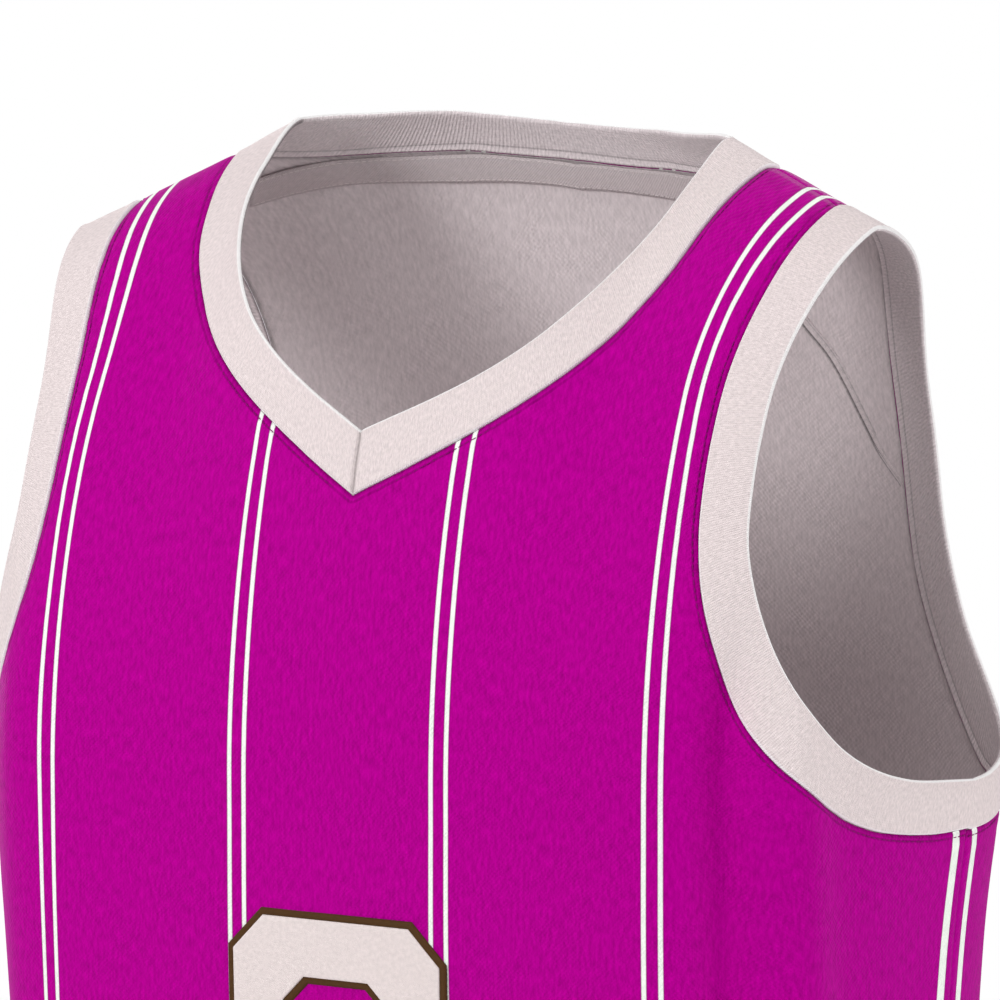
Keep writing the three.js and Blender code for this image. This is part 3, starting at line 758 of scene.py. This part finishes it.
# %% Helpers for pieces
def make_mesh(name, points, faces, pattern, materials, marks=None):
    """A smooth mesh from points in millimetres, with pattern coordinates per point or face corner."""
    mesh = bpy.data.meshes.new(name)
    mesh.from_pydata((points * MM).tolist(), [], faces if isinstance(faces, list) else faces.tolist())
    uv = mesh.uv_layers.new(name="pattern")
    corners = np.zeros(len(mesh.loops), np.int32)
    mesh.loops.foreach_get("vertex_index", corners)
    per_corner = pattern[corners] if len(pattern) == len(points) else pattern
    uv.data.foreach_set("uv", (per_corner * MM).astype(np.float32).ravel())
    for mark, values in (marks or {}).items():
        layer = mesh.attributes.new(mark, "FLOAT", "POINT")
        layer.data.foreach_set("value", np.asarray(values, np.float32).ravel())
    for material in materials:
        mesh.materials.append(material)
    mesh.shade_smooth()
    piece = bpy.data.objects.new(name, mesh)
    scene.collection.objects.link(piece)
    return piece


def settle(piece, replaces=None):
    """Every piece rides on the one body and may stand for a solid."""
    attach(piece, "root")
    if replaces:
        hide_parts(replaces)


def grid_faces(ids, flip=False):
    """Four-sided faces over a grid of point numbers."""
    a, b, c, d = ids[:-1, :-1], ids[:-1, 1:], ids[1:, 1:], ids[1:, :-1]
    quads = np.stack([a, d, c, b] if flip else [a, b, c, d], axis=-1)
    return quads.reshape(-1, 4)


def closed_round(grid):
    """A grid with its first row and its first column repeated at the end."""
    taller = np.concatenate([grid, grid[:1]])
    return np.concatenate([taller, taller[:, :1]], axis=1)


def thicken(piece, thickness, offset):
    """Gives a sheet a thickness in millimetres, inward for an offset of -1."""
    wall = piece.modifiers.new("cloth", "SOLIDIFY")
    wall.thickness = thickness * MM
    wall.offset = offset
    return wall


def flat_area(points, faces):
    """Area of a sheet of four-sided faces, in square metres."""
    a, b, c, d = (points[faces[:, corner]] for corner in range(4))
    diagonals = np.cross(c - a, d - b)
    return float(np.linalg.norm(diagonals, axis=1).sum() / 2) * MM**2


def distance_to(curve, across, rise):
    """Distance on the flat pattern from each place to a pattern curve."""
    line = smooth_curve(curve, steps=260)
    reach = np.abs(across).ravel()
    high = rise.ravel()
    nearest = np.full(reach.shape, 1e9)
    for x, y in line:
        nearest = np.minimum(nearest, (reach - x) ** 2 + (high - y) ** 2)
    return np.sqrt(nearest).reshape(across.shape)


# %% [markdown]
# ## The front and back panels
#
# A panel is cut to the neck seam and the armhole seams. Its grid follows those curves, and it is finer
# near every seam, where the cloth is pulled into a small groove and puckers a little. The Solidify
# modifier then gives the sheet its real two faces: the dyed outside and the pale inside.

# %% Grid of a panel
KNIT_THICKNESS = 1.1
EDGE_STEPS = np.array([0, 0.7, 1.5, 2.4, 3.6, 5.2, 7.5])
MIDDLE_COLUMNS = 58
HEM_ROWS, BODY_ROWS = 8, 92
CENTRE_ROWS, NECK_ROWS = 44, 66
BACK_ROWS, BACK_NECK_SHARE = 108, 0.76
CENTRE_DROP = 60


def shares_with_edges(length, middle):
    """Even shares from 0 to 1 with closer ones at both ends, for rows of several lengths."""
    length = np.asarray(length, float)[:, None]
    low = EDGE_STEPS[None, :] / length
    inner = np.linspace(0, 1, middle + 2)[1:-1][None, :]
    span = 1 - 2 * low[:, -1:]
    return np.concatenate([low, low[:, -1:] + inner * span, 1 - low[:, ::-1]], axis=1)


def rows_between(inner, outer):
    """Rows of places between two columns of ends."""
    shares = shares_with_edges(np.linalg.norm(outer - inner, axis=1), MIDDLE_COLUMNS)[..., None]
    return inner[:, None] + (outer - inner)[:, None] * shares


def body_rows(side):
    """Rows from the hem up to the armhole, closer together at the hem, rising more and more to the side."""
    low = -BODY_DROP + np.linspace(0, 24, HEM_ROWS + 1)[:-1]
    high = np.linspace(-BODY_DROP + 24, ARM_SEAM[side][0][1], BODY_ROWS + 1)[:-1]
    rises = np.concatenate([low, high])
    ends = np.stack([ring_length(side, -rises), rises], axis=1)
    height = ARM_SEAM[side][0][1] + BODY_DROP
    at_centre = -BODY_DROP + (rises + BODY_DROP) * (height - CENTRE_DROP) / height
    return rows_between(np.stack([np.zeros_like(rises), at_centre], axis=1), ends)


def front_grid():
    """Half of the front, from the hem to the neck seam and the shoulder."""
    upper = CENTRE_ROWS + NECK_ROWS
    arm = stations("front", ARM_SEAM["front"], np.linspace(0, 1, upper + 1))[0]
    rises = np.linspace(arm[0, 1] - CENTRE_DROP, NECK_SEAM["front"][0][1], CENTRE_ROWS + 1)[:-1]
    centre = np.stack([np.zeros(CENTRE_ROWS), rises], axis=1)
    neck = stations("front", NECK_SEAM["front"], np.linspace(0, 1, NECK_ROWS + 1))[0]
    return np.concatenate([body_rows("front"), rows_between(np.concatenate([centre, neck]), arm)])


def back_grid():
    """Half of the back, with its rows bent towards the shallow neck seam at the top."""
    arm = stations("back", ARM_SEAM["back"], np.linspace(0, 1, BACK_ROWS + 1))[0]
    top_rise = NECK_SEAM["back"][0][1]
    low = arm[0, 1] - CENTRE_DROP
    rises = np.linspace(low, top_rise - EDGE_STEPS[-1], BACK_ROWS - len(EDGE_STEPS) + 2)
    rises = np.concatenate([rises, top_rise - EDGE_STEPS[-2::-1]])
    centre = np.stack([np.zeros_like(rises), rises], axis=1)
    straight = rows_between(centre, arm)
    row_share = shares_with_edges([150.0], MIDDLE_COLUMNS)[0]
    on_neck = stations("back", NECK_SEAM["back"], np.clip(row_share / BACK_NECK_SHARE, 0, 1))[0]
    on_ridge = np.clip((row_share - BACK_NECK_SHARE) / (1 - BACK_NECK_SHARE), 0, 1)[:, None]
    top = np.where(on_ridge > 0, on_neck[-1] + (arm[-1] - on_neck[-1]) * on_ridge, on_neck)
    share = ((rises - rises[0]) / (rises[-1] - rises[0]))[:, None, None] ** 2
    return np.concatenate([body_rows("back"), straight + share * (top - straight[-1])[None]])


GRIDS = {"front": front_grid(), "back": back_grid()}
print("places on half a panel:", {side: grid.shape[:2] for side, grid in GRIDS.items()})

# %% Seam grooves, puckers and the hem
GROOVE_DEPTH, GROOVE_WIDTH = 1.0, 1.5
STITCH_DIP, DIP_WIDTH = 0.35, 0.8
SIDE_SEAM_TOP = -15
PUCKER_PITCH, PUCKER_HEIGHT, PUCKER_FADE = 17.0, 0.22, 9.0
HEM_WIDTH, HEM_HEIGHT, HEM_DIP, HEM_DIP_WIDTH = 20, 0.5, 0.4, 1.5
UNEVEN_HEIGHT = 0.35
INNER_SEAM_SHADOW, INNER_SEAM_REACH = 0.45, 1.7


def seam_relief(side, across, rise):
    """Height of the cloth near its seams, and the distance to the nearest band seam."""
    to_arm = distance_to(ARM_SEAM[side], across, rise)
    to_neck = distance_to(NECK_SEAM[side], across, rise)
    near = np.minimum(to_arm, to_neck)
    from_side = ring_length(side, np.maximum(-rise, 0)) - np.abs(across)
    to_side = np.where(rise < SIDE_SEAM_TOP, from_side, 1e3)
    near_any = np.minimum(near, to_side)
    groove = -GROOVE_DEPTH * np.exp(-((near_any / GROOVE_WIDTH) ** 2))
    dip = -STITCH_DIP * np.exp(-(((near - STITCH_LINE) / DIP_WIDTH) ** 2))
    place = across * 0.8 + rise
    wobble = np.sin(2 * math.pi * place / PUCKER_PITCH) + 0.6 * np.sin(place / 3.9 + across / 31)
    pucker = PUCKER_HEIGHT * wobble * np.exp(-near / PUCKER_FADE) * smooth_step(near, 0, 3)
    from_hem = rise + BODY_DROP
    hem = HEM_HEIGHT * (1 - smooth_step(from_hem, HEM_WIDTH - 1, HEM_WIDTH + 2))
    hem -= HEM_DIP * np.exp(-(((from_hem - HEM_WIDTH + 2) / HEM_DIP_WIDTH) ** 2))
    return groove + dip + pucker + hem, near


def uneven_relief(across, rise):
    """Very slight unevenness of hanging cloth."""
    wide = np.sin(across / 23 + 1.1 * np.sin(rise / 71)) * np.sin(rise / 57 + across / 90)
    fine = np.sin(across / 9.5 + rise / 140 + 2.0 * np.sin(rise / 40)) * 0.3
    return UNEVEN_HEIGHT * (wide + fine)


def make_panel(name, side):
    """The front or back cloth: both halves on one mesh, thick and two-sided."""
    across, rise = GRIDS[side][..., 0], GRIDS[side][..., 1]
    relief, near = seam_relief(side, across, rise)
    half = np.arange(across.size).reshape(across.shape)
    twin = half + across.size
    on_centre = across[:, 0] < 1e-6
    twin[on_centre, 0] = half[on_centre, 0]
    points, patterns = [], []
    for hand in (1, -1):
        signed = hand * across
        lift = relief + uneven_relief(signed, rise)
        points.append(surface_point(side, signed, rise, lift).reshape(-1, 3))
        patterns.append(np.stack([signed, rise], axis=-1).reshape(-1, 2))
    faces = np.concatenate([grid_faces(half, side == "back"), grid_faces(twin, side == "front")])
    used, faces = np.unique(faces, return_inverse=True)
    faces = faces.reshape(-1, 4)
    points, pattern = np.concatenate(points)[used], np.concatenate(patterns)[used]
    from_side = ring_length(side, np.maximum(-rise, 0)) - across
    inner_shadow = INNER_SEAM_SHADOW * np.exp(-((near / INNER_SEAM_REACH) ** 2))
    marks = {"seam": np.tile(near.ravel(), 2)[used], "from_side": np.tile(from_side.ravel(), 2)[used],
             "shadow": np.tile(inner_shadow.ravel(), 2)[used]}
    piece = make_mesh(name, points, faces, pattern, [body_knit, inside_knit], marks)
    wall = thicken(piece, KNIT_THICKNESS, -1)
    wall.material_offset = 1
    wall.material_offset_rim = 0
    print(name, "has", len(points), "points and", round(flat_area(points, faces), 3), "square metres")
    return piece


front_cloth = make_panel("front_cloth", "front")
settle(front_cloth, "front_panel")
back_cloth = make_panel("back_cloth", "back")
settle(back_cloth, "back_panel")

# %% [markdown]
# ## The neck and armhole bands
#
# A band is a strip of rib folded in half and sewn on by its raw edges. Seen in section it rises out of
# the seam, lies flat, rolls over at the open edge and comes back inside. The section is one closed list
# of heights, swept round the opening.

# %% Section and sweep of a band
# columns: share of the band's width, offset in mm, height in mm, painted shade (painted light where below
# 0)
BAND_SECTION = np.array([
    (0, 0.25, -1.7, 0.5), (0, 0.3, -0.5, 0), (0, 0.75, 0.35, 0), (0, 1.5, 0.75, 0), (0, 2.4, 0.65, 0),
    (0, 4.0, 0.55, 0), (0.33, 0, 0.62, 0), (0.5, 0, 0.68, 0), (0.67, 0, 0.62, 0), (1, -4.0, 0.5, 0),
    (1, -2.6, 0.62, 0), (1, -1.6, 0.85, 0), (1, -0.8, 0.7, 0), (1, -0.2, 0.1, 0), (1, 0.0, -0.7, 0.15),
    (1, -0.25, -1.5, 0.6), (1, -0.9, -2.0, 0.62), (1, -2.0, -2.1, 0.35), (0.67, 0, -2.0, 0),
    (0.5, 0, -2.0, 0), (0.33, 0, -2.0, 0), (0, 5.4, -2.1, 0), (0, 4.5, -1.9, 0.34), (0, 3.6, -2.1, 0),
    (0, 2.5, -2.35, -0.06), (0, 1.3, -2.7, -0.1), (0, 0.5, -2.5, 0.25),
])
# the first rows of the section lie outside, and the fold's inner rows, painted dark as shadow under the
# rolled edge, follow them
RIM_OUTSIDE = 15
FOLD_INSIDE = slice(14, 18)
MITRE_DIP, MITRE_WIDTH, MITRE_SHADOW = 1.0, 1.0, 0.45
# the neck band's open edge stands up beside the shoulders: height, and where it has faded out, in mm
STAND_HEIGHT = {1: 3.4, -1: 2.8}
STAND_FADE = {("front", 1): (0, 32), ("front", -1): (6, 44), ("back", 1): (18, 96), ("back", -1): (6, 62)}
BACK_RIB_LEAD = 0.05


def band_half(side, hand, seam, edge, shares):
    """Points of one stretch of a band, distances along and over it, its width and its painted shade and
    light.
    """
    on_neck = seam is NECK_SEAM
    seam_places, length = stations(side, seam[side], shares)
    lead = BACK_RIB_LEAD * np.sin(math.pi * np.asarray(shares)) if on_neck and side == "back" else 0
    edge_places, _ = stations(side, edge[side], shares + lead)
    width = np.linalg.norm(
        plain_surface(side, *edge_places.T) - plain_surface(side, *seam_places.T), axis=1)[:, None]
    share = BAND_SECTION[None, :, 0] + BAND_SECTION[None, :, 1] / width
    places = seam_places[:, None] + (edge_places - seam_places)[:, None] * share[..., None]
    across, rise = hand * places[..., 0], np.minimum(places[..., 1], RIDGE_RISE)
    lift = np.broadcast_to(BAND_SECTION[None, :, 2], across.shape).copy()
    shadow = np.broadcast_to(BAND_SECTION[None, :, 3], across.shape).copy()
    along = np.asarray(shares) * length
    if side == "back":
        shadow[:, FOLD_INSIDE] = 0
    if on_neck:
        from_ridge = (length - along)[:, None]
        fade = 1 - smooth_step(from_ridge, *STAND_FADE[side, hand])
        lift += STAND_HEIGHT[hand] * fade * np.clip(share, 0, 1)
    if on_neck and side == "front":
        mitre = np.exp(-((along[:, None] / MITRE_WIDTH) ** 2))
        lift[:, :RIM_OUTSIDE] -= MITRE_DIP * mitre
        shadow[:, :RIM_OUTSIDE] = np.maximum(shadow[:, :RIM_OUTSIDE], MITRE_SHADOW * mitre)
    points = surface_point(side, across, rise, lift)
    over = share * width
    return points, along, over, width[:, 0], shadow


def make_band(name, stretches):
    """Joins stretches end to end; the last one meets the first."""
    points, along, over, rims, shadows = [], [], [], [], []
    start = 0.0
    for part, part_along, part_over, width, part_shadow in stretches:
        distance = np.abs(part_along - part_along[0])
        points.append(part[:-1])
        along.append(start + distance[:-1])
        over.append(part_over[:-1])
        rims.append(np.minimum(part_over, width[:, None] - part_over)[:-1])
        shadows.append(part_shadow[:-1])
        start += distance[-1]
    points, over, rim = (np.concatenate(parts) for parts in (points, over, rims))
    along = np.concatenate(along)
    rows, section = over.shape
    faces = grid_faces(closed_round(np.arange(rows * section).reshape(rows, section)))
    corner_along = np.repeat(np.concatenate([along, [start]])[:, None], section + 1, axis=1)
    corner_over = closed_round(over)
    corner_ids = grid_faces(np.arange(corner_over.size).reshape(corner_over.shape))
    pattern = np.stack([corner_along.ravel()[corner_ids], corner_over.ravel()[corner_ids]], axis=-1)
    rim = np.where(np.arange(section)[None, :] < RIM_OUTSIDE, np.abs(rim), 9.0)
    piece = make_mesh(name, points.reshape(-1, 3), faces, pattern.reshape(-1, 2), [band_rib, band_inside],
                      {"rim": rim, "shadow": np.concatenate(shadows)})
    inner = np.tile(np.arange(section) >= RIM_OUTSIDE - 1, rows)
    piece.data.polygons.foreach_set("material_index", inner.astype(np.int32))
    outward(piece)
    print(name, "is", round(start), "mm round, with", len(faces), "faces")
    return piece, start


def outward(piece):
    """Turns the faces of a closed piece to look outward."""
    work = bmesh.new()
    work.from_mesh(piece.data)
    bmesh.ops.recalc_face_normals(work, faces=work.faces)
    work.to_mesh(piece.data)
    work.free()


# %% The neck band, mitred at the point of the V
FRONT_SHARES = np.concatenate([[0, 0.0025, 0.005, 0.008, 0.012], np.linspace(0.018, 1, 74)])
BACK_SHARES = np.linspace(0, 1, 60)
neck_stretches = [
    band_half("front", 1, NECK_SEAM, NECK_EDGE, FRONT_SHARES),
    band_half("back", 1, NECK_SEAM, NECK_EDGE, BACK_SHARES[::-1]),
    band_half("back", -1, NECK_SEAM, NECK_EDGE, BACK_SHARES),
    band_half("front", -1, NECK_SEAM, NECK_EDGE, FRONT_SHARES[::-1]),
]
neck_rib, neck_round = make_band("neck_rib", neck_stretches)
settle(neck_rib, "neck_band")

# %% The armhole bands
ARM_SHARES = np.linspace(0, 1, 120)
for hand, place in ((1, "left"), (-1, "right")):
    arm_stretches = [
        band_half("front", hand, ARM_SEAM, ARM_EDGE, ARM_SHARES),
        band_half("back", hand, ARM_SEAM, ARM_EDGE, ARM_SHARES[::-1]),
    ]
    arm_rib, arm_round = make_band(f"armhole_rib_{place}", arm_stretches)
    settle(arm_rib, f"armhole_band_{place}")

# %% [markdown]
# ## The tape inside the back neck
#
# A narrow twill tape covers the back neck seam inside and runs on over the shoulder seams. Its two edges
# are curves on the pattern, and it lies just inside the back cloth, a little fuller along its middle.

# %% Neck tape
# columns: across, rise
TAPE_TOP = [(0, 254), (30, 257), (57, 264), (84, 273), (102, 280.5), (118, 287), (132, 291), (144, 293)]
TAPE_LOW = [(0, 242.5), (30, 245.5), (57, 251), (86, 261), (118, 274.5), (138, 281), (154, 284.5)]
TAPE_WIDTH = 13
TAPE_LIFT, TAPE_THICKNESS, TAPE_SWELL = -2.9, 0.8, 0.3


def tape_places(share):
    """Places along a line of the tape, from its top edge at 0 to its lower edge at 1."""
    along = np.linspace(0, 1, 80)
    top = stations("back", TAPE_TOP, along)[0]
    low, length = stations("back", TAPE_LOW, along)
    return top + (low - top) * share, along * length


def make_tape():
    """The tape as a sheet of nine lines, thick, and its length."""
    rows, patterns = [], []
    for share in np.linspace(0, 1, 9):
        places, along = tape_places(share)
        lift = np.full(len(along), TAPE_LIFT - TAPE_SWELL * math.sin(math.pi * share))
        left = surface_point("back", places[:, 0], places[:, 1], lift)
        right = surface_point("back", -places[:, 0], places[:, 1], lift)
        rows.append(np.concatenate([right[::-1], left[1:]]))
        both = np.concatenate([-along[::-1], along[1:]])
        patterns.append(np.stack([both, np.full(len(both), share * TAPE_WIDTH)], axis=1))
    points, pattern = np.stack(rows), np.stack(patterns)
    faces = grid_faces(np.arange(points.shape[0] * points.shape[1]).reshape(points.shape[:2]))
    points = points.reshape(-1, 3)
    piece = make_mesh("neck_tape_cloth", points, faces, pattern.reshape(-1, 2), [tape_twill])
    thicken(piece, TAPE_THICKNESS, 1)
    length = 2 * float(along[-1])
    print("tape is", round(length), "mm long and", round(flat_area(points, faces) * 1e4), "cm2")
    return piece, length


tape_cloth, tape_length = make_tape()
settle(tape_cloth, "neck_tape")

# %% [markdown]
# ## The number
#
# The chest number is two layers of twill, a pale face on a dark backing whose rim stands up round it. It
# is a plain block numeral. Each layer is a ring between two chamfered rectangles, laid on the pattern and
# lifted off the cloth, with rounded edges.

# %% Outline of the numeral
NUMERAL = {"top": -56, "height": 170, "half_width": 58, "stroke": 33, "corner": 18, "border": 3.2}
SIDE_PARTS = 14


def block_outline(half_width, top, bottom, corner):
    """Places round a chamfered rectangle, evenly parted on each side."""
    corners = np.array([
        (-half_width, top - corner), (-half_width + corner, top),
        (half_width - corner, top), (half_width, top - corner),
        (half_width, bottom + corner), (half_width - corner, bottom),
        (-half_width + corner, bottom), (-half_width, bottom + corner),
    ], float)
    following = np.roll(corners, -1, axis=0)
    steps = np.linspace(0, 1, SIDE_PARTS, endpoint=False)[:, None]
    return np.concatenate([a + (b - a) * steps for a, b in zip(corners, following)])


def make_number_layer(name, border, section, material):
    """A ring of twill. Section columns: share of the stroke, offset in mm, height in mm."""
    top = NUMERAL["top"] - border
    bottom = NUMERAL["top"] - NUMERAL["height"] + border
    stroke = NUMERAL["stroke"] - 2 * border
    half_width = NUMERAL["half_width"] - border
    outer = block_outline(half_width, top, bottom, NUMERAL["corner"] - border * 0.6)
    inner_corner = NUMERAL["corner"] * 0.55 + border * 0.4
    inner = block_outline(half_width - stroke, top - stroke, bottom + stroke, inner_corner)
    share = np.array(section)[:, 0] + np.array(section)[:, 1] / stroke
    places = outer[:, None] + (inner - outer)[:, None] * share[None, :, None]
    lift = np.broadcast_to(np.array(section)[None, :, 2], places.shape[:2])
    points = surface_point("front", places[..., 0], places[..., 1], lift)
    faces = grid_faces(closed_round(np.arange(lift.size).reshape(lift.shape)))
    piece = make_mesh(name, points.reshape(-1, 3), faces, places.reshape(-1, 2), [material])
    outward(piece)
    return piece


BACKING_SECTION = [
    (0, 0.0, 0.1), (0, 0.15, 0.8), (0, 0.9, 1.35), (0, 1.9, 1.4), (0, 2.8, 1.2), (0, 3.6, 0.95),
    (0.5, 0, 0.95), (1, -3.6, 0.95), (1, -2.8, 1.2), (1, -1.9, 1.4), (1, -0.9, 1.35), (1, -0.15, 0.8),
    (1, 0.0, 0.1), (0.5, 0, 0.1),
]
FACE_SECTION = [
    (0, 0.0, 1.0), (0, 0.2, 1.75), (0, 0.7, 1.95), (0, 1.6, 1.9), (0.25, 0, 1.85), (0.5, 0, 1.85),
    (0.75, 0, 1.85), (1, -1.6, 1.9), (1, -0.7, 1.95), (1, -0.2, 1.75), (1, 0.0, 1.0), (0.5, 0, 1.0),
]
number_backing = make_number_layer("number_backing_twill", 0, BACKING_SECTION, backing_twill)
settle(number_backing, "number_backing")
number_face = make_number_layer("number_face_twill", NUMERAL["border"], FACE_SECTION, number_twill)
settle(number_face, "number_face")
print("number is", 2 * NUMERAL["half_width"], "by", NUMERAL["height"], "mm")

# %% [markdown]
# ## Stitches
#
# The seams are sewn, and the stitches show as short raised threads in a row. One stitch is a small
# spindle. A whole row is a single mesh of spindles placed along a path on the pattern.

# %% A row of stitches
# columns: from one stitch to the next, length, radius, all in mm
STITCHES = {"seam": (3.4, 2.6, 0.24), "hem": (3.0, 2.4, 0.24), "inside": (3.0, 2.3, 0.2)}
SEAM_STITCH_LIFT, HEM_STITCH_LIFT, YOKE_STITCH_LIFT, TAPE_STITCH_LIFT = -0.35, 0.45, -1.85, -3.05
SPINDLE_SIDES = 6
SPINDLE_AT = np.array([0.0, 0.12, 0.5, 0.88, 1.0])
SPINDLE_WIDTH = np.array([0.35, 0.85, 1.0, 0.85, 0.35])
SPINDLE_BOW = np.array([-0.25, 0.0, 0.12, 0.0, -0.25])


def path_points(side, places, lift):
    """Points and normals of a path on the pattern, with the distance along it."""
    across, rise = places[:, 0], places[:, 1]
    points = surface_point(side, across, rise, np.full(len(across), float(lift)))
    normals = surface_normal(side, across, rise)
    along = np.concatenate([[0], np.cumsum(np.linalg.norm(np.diff(points, axis=0), axis=1))])
    return points, normals, along


def stitch_mesh(name, paths, kind, material):
    """Spindles along one or more paths, all in one mesh."""
    pitch, length, radius = STITCHES[kind]
    all_points, all_faces, all_pattern, count = [], [], [], 0
    turn = np.arange(SPINDLE_SIDES) * 2 * math.pi / SPINDLE_SIDES
    rings = len(SPINDLE_AT)
    for points, normals, along in paths:
        starts = np.arange(0.2 * pitch, along[-1] - length, pitch)
        at = starts[:, None] + SPINDLE_AT[None] * length
        centre = np.stack([np.interp(at, along, points[:, k]) for k in range(3)], axis=-1)
        normal = unit(np.stack([np.interp(at, along, normals[:, k]) for k in range(3)], axis=-1))
        way = unit(centre[:, -1:] - centre[:, :1])
        side_way = unit(np.cross(way, normal))
        centre = centre + normal * (SPINDLE_BOW * radius * 2)[None, :, None]
        to_side, to_top = np.cos(turn)[:, None], np.sin(turn)[:, None]
        ring = to_side * side_way[:, :, None] + to_top * normal[:, :, None]
        spindle = centre[:, :, None] + ring * (SPINDLE_WIDTH * radius)[None, :, None, None]
        number = len(starts)
        ids = np.arange(number * rings * SPINDLE_SIDES).reshape(number, rings, SPINDLE_SIDES) + count
        wrapped = np.concatenate([ids, ids[..., :1]], axis=2)
        a, b = wrapped[:, :-1, :-1], wrapped[:, :-1, 1:]
        c, d = wrapped[:, 1:, 1:], wrapped[:, 1:, :-1]
        all_faces.extend(np.stack([a, b, c, d], axis=-1).reshape(-1, 4).tolist())
        all_faces.extend(ids[:, 0, ::-1].tolist())
        all_faces.extend(ids[:, -1].tolist())
        all_points.append(spindle.reshape(-1, 3))
        along_uv = np.broadcast_to(at[:, :, None], ids.shape)
        around_uv = np.broadcast_to(turn / MM, ids.shape)
        all_pattern.append(np.stack([along_uv, around_uv], axis=-1).reshape(-1, 2))
        count += number * rings * SPINDLE_SIDES
    piece = make_mesh(name, np.concatenate(all_points), all_faces, np.concatenate(all_pattern), [material])
    outward(piece)
    print(name, "has", count // (rings * SPINDLE_SIDES), "stitches")
    return piece


def sideways(places, offset):
    """A pattern path moved sideways by a distance."""
    slope = unit(np.gradient(places, axis=0))
    moved = places + offset * np.stack([slope[:, 1], -slope[:, 0]], axis=1)
    return np.stack([moved[:, 0], np.minimum(moved[:, 1], RIDGE_RISE)], axis=1)


def beside_seam(side, hand, seam, offset):
    """Path on a panel at a small distance from a band seam."""
    shares = np.linspace(0.002, 1, 500)
    places, _ = stations(side, seam[side], shares)
    inward = -1 if seam is ARM_SEAM else 1
    return sideways(places, inward * offset) * np.array([hand, 1])


# %% Rows along the band seams, the hem and the tape
def seam_paths(seam):
    """The stitch line beside a band seam, on both panels and both sides."""
    return [
        path_points(side, beside_seam(side, hand, seam, STITCH_LINE), SEAM_STITCH_LIFT)
        for side in ("front", "back") for hand in (1, -1)
    ]


for name, seam in (("armhole_stitches", ARM_SEAM), ("neck_stitches", NECK_SEAM)):
    settle(stitch_mesh(name, seam_paths(seam), "seam", plum_thread))

HEM_LINES = (HEM_WIDTH - 5.5, HEM_WIDTH - 1)


def hem_path(side, from_edge):
    """A line round one panel at a height above the hem's edge."""
    rise = -BODY_DROP + from_edge
    length = float(ring_length(side, -rise))
    across = np.linspace(-length, length, 800)
    return path_points(side, np.stack([across, np.full(800, rise)], axis=1), HEM_STITCH_LIFT)


hem_paths = [hem_path(side, from_edge) for side in ("front", "back") for from_edge in HEM_LINES]
settle(stitch_mesh("hem_stitches", hem_paths, "hem", plum_thread))

# %% [markdown]
# Inside the back, on the wearer's left, a flat seam runs from the neck tape down to the armhole seam, and
# the tape is sewn down along both edges. The seam is a low ribbon with a groove and a fainter second line
# beside it, both darkened with painted shade.

# %% Seams and stitches inside the back
YOKE = [(86, 258), (93, 243), (105, 227), (120, 214), (135, 201), (150, 175), (158, 161), (171, 147)]
# columns: distance to the side in mm, height in mm, painted shade (painted light where below 0)
YOKE_SECTION = np.array([
    (-5.2, -1.0, 0), (-4.6, -1.5, 0.05), (-3.9, -1.45, 0.34), (-3.2, -1.6, 0.05), (-1.8, -1.95, -0.05),
    (-1.0, -2.1, 0.1), (-0.3, -1.6, 0.66), (0.4, -1.45, 0.7), (1.1, -1.7, 0.35), (1.9, -1.6, 0.0),
    (2.7, -1.0, 0),
])
YOKE_STEPS, YOKE_THICKNESS, YOKE_STITCH_OFFSET = 120, 0.4, -2.4

yoke_line, yoke_length = stations("back", YOKE, np.linspace(0, 1, YOKE_STEPS))
yoke_rows = []
for offset, height, _ in YOKE_SECTION:
    moved = sideways(yoke_line, offset)
    yoke_rows.append(surface_point("back", moved[:, 0], moved[:, 1], np.full(YOKE_STEPS, height)))
yoke_points = np.stack(yoke_rows)
yoke_ids = np.arange(yoke_points.shape[0] * YOKE_STEPS).reshape(-1, YOKE_STEPS)
yoke_u, yoke_v = np.meshgrid(np.linspace(0, yoke_length, YOKE_STEPS), YOKE_SECTION[:, 0])
yoke_seam = make_mesh(
    "yoke_seam", yoke_points.reshape(-1, 3), grid_faces(yoke_ids, True),
    np.stack([yoke_u.ravel(), yoke_v.ravel()], axis=1), [inside_knit],
    {"shadow": np.repeat(YOKE_SECTION[:, 2], YOKE_STEPS)})
thicken(yoke_seam, YOKE_THICKNESS, -1)
settle(yoke_seam)
print("the seam inside the back is", round(float(yoke_length)), "mm long")


yoke_paths = [path_points("back", sideways(yoke_line, YOKE_STITCH_OFFSET), YOKE_STITCH_LIFT)]
settle(stitch_mesh("yoke_stitches", yoke_paths, "inside", pale_thread))
TAPE_STITCH_SHARES = (0.09, 0.91)
tape_paths = [
    path_points("back", tape_places(share)[0] * np.array([hand, 1]), TAPE_STITCH_LIFT)
    for share in TAPE_STITCH_SHARES for hand in (1, -1)
]
settle(stitch_mesh("tape_stitches", tape_paths, "inside", pale_thread))

# %% [markdown]
# ## The floor
#
# A round pale floor lies under the jersey. It isn't part of the object.

# %% Floor
FLOOR_GAP, FLOOR_RADIUS = 0.03, 1.4
floor_mesh = bpy.data.meshes.new("floor")
work = bmesh.new()
bmesh.ops.create_circle(work, cap_ends=True, radius=FLOOR_RADIUS, segments=128)
work.to_mesh(floor_mesh)
work.free()
floor = bpy.data.objects.new("floor", floor_mesh)
floor.location.z = cad_box[0][2] - FLOOR_GAP
scene.collection.objects.link(floor)
paint = bpy.data.materials.new("pale floor")
paint.use_nodes = True
paint.node_tree.nodes["Principled BSDF"].inputs["Base Color"].default_value = (0.86, 0.86, 0.86, 1)
paint.node_tree.nodes["Principled BSDF"].inputs["Roughness"].default_value = 0.9
floor_mesh.materials.append(paint)
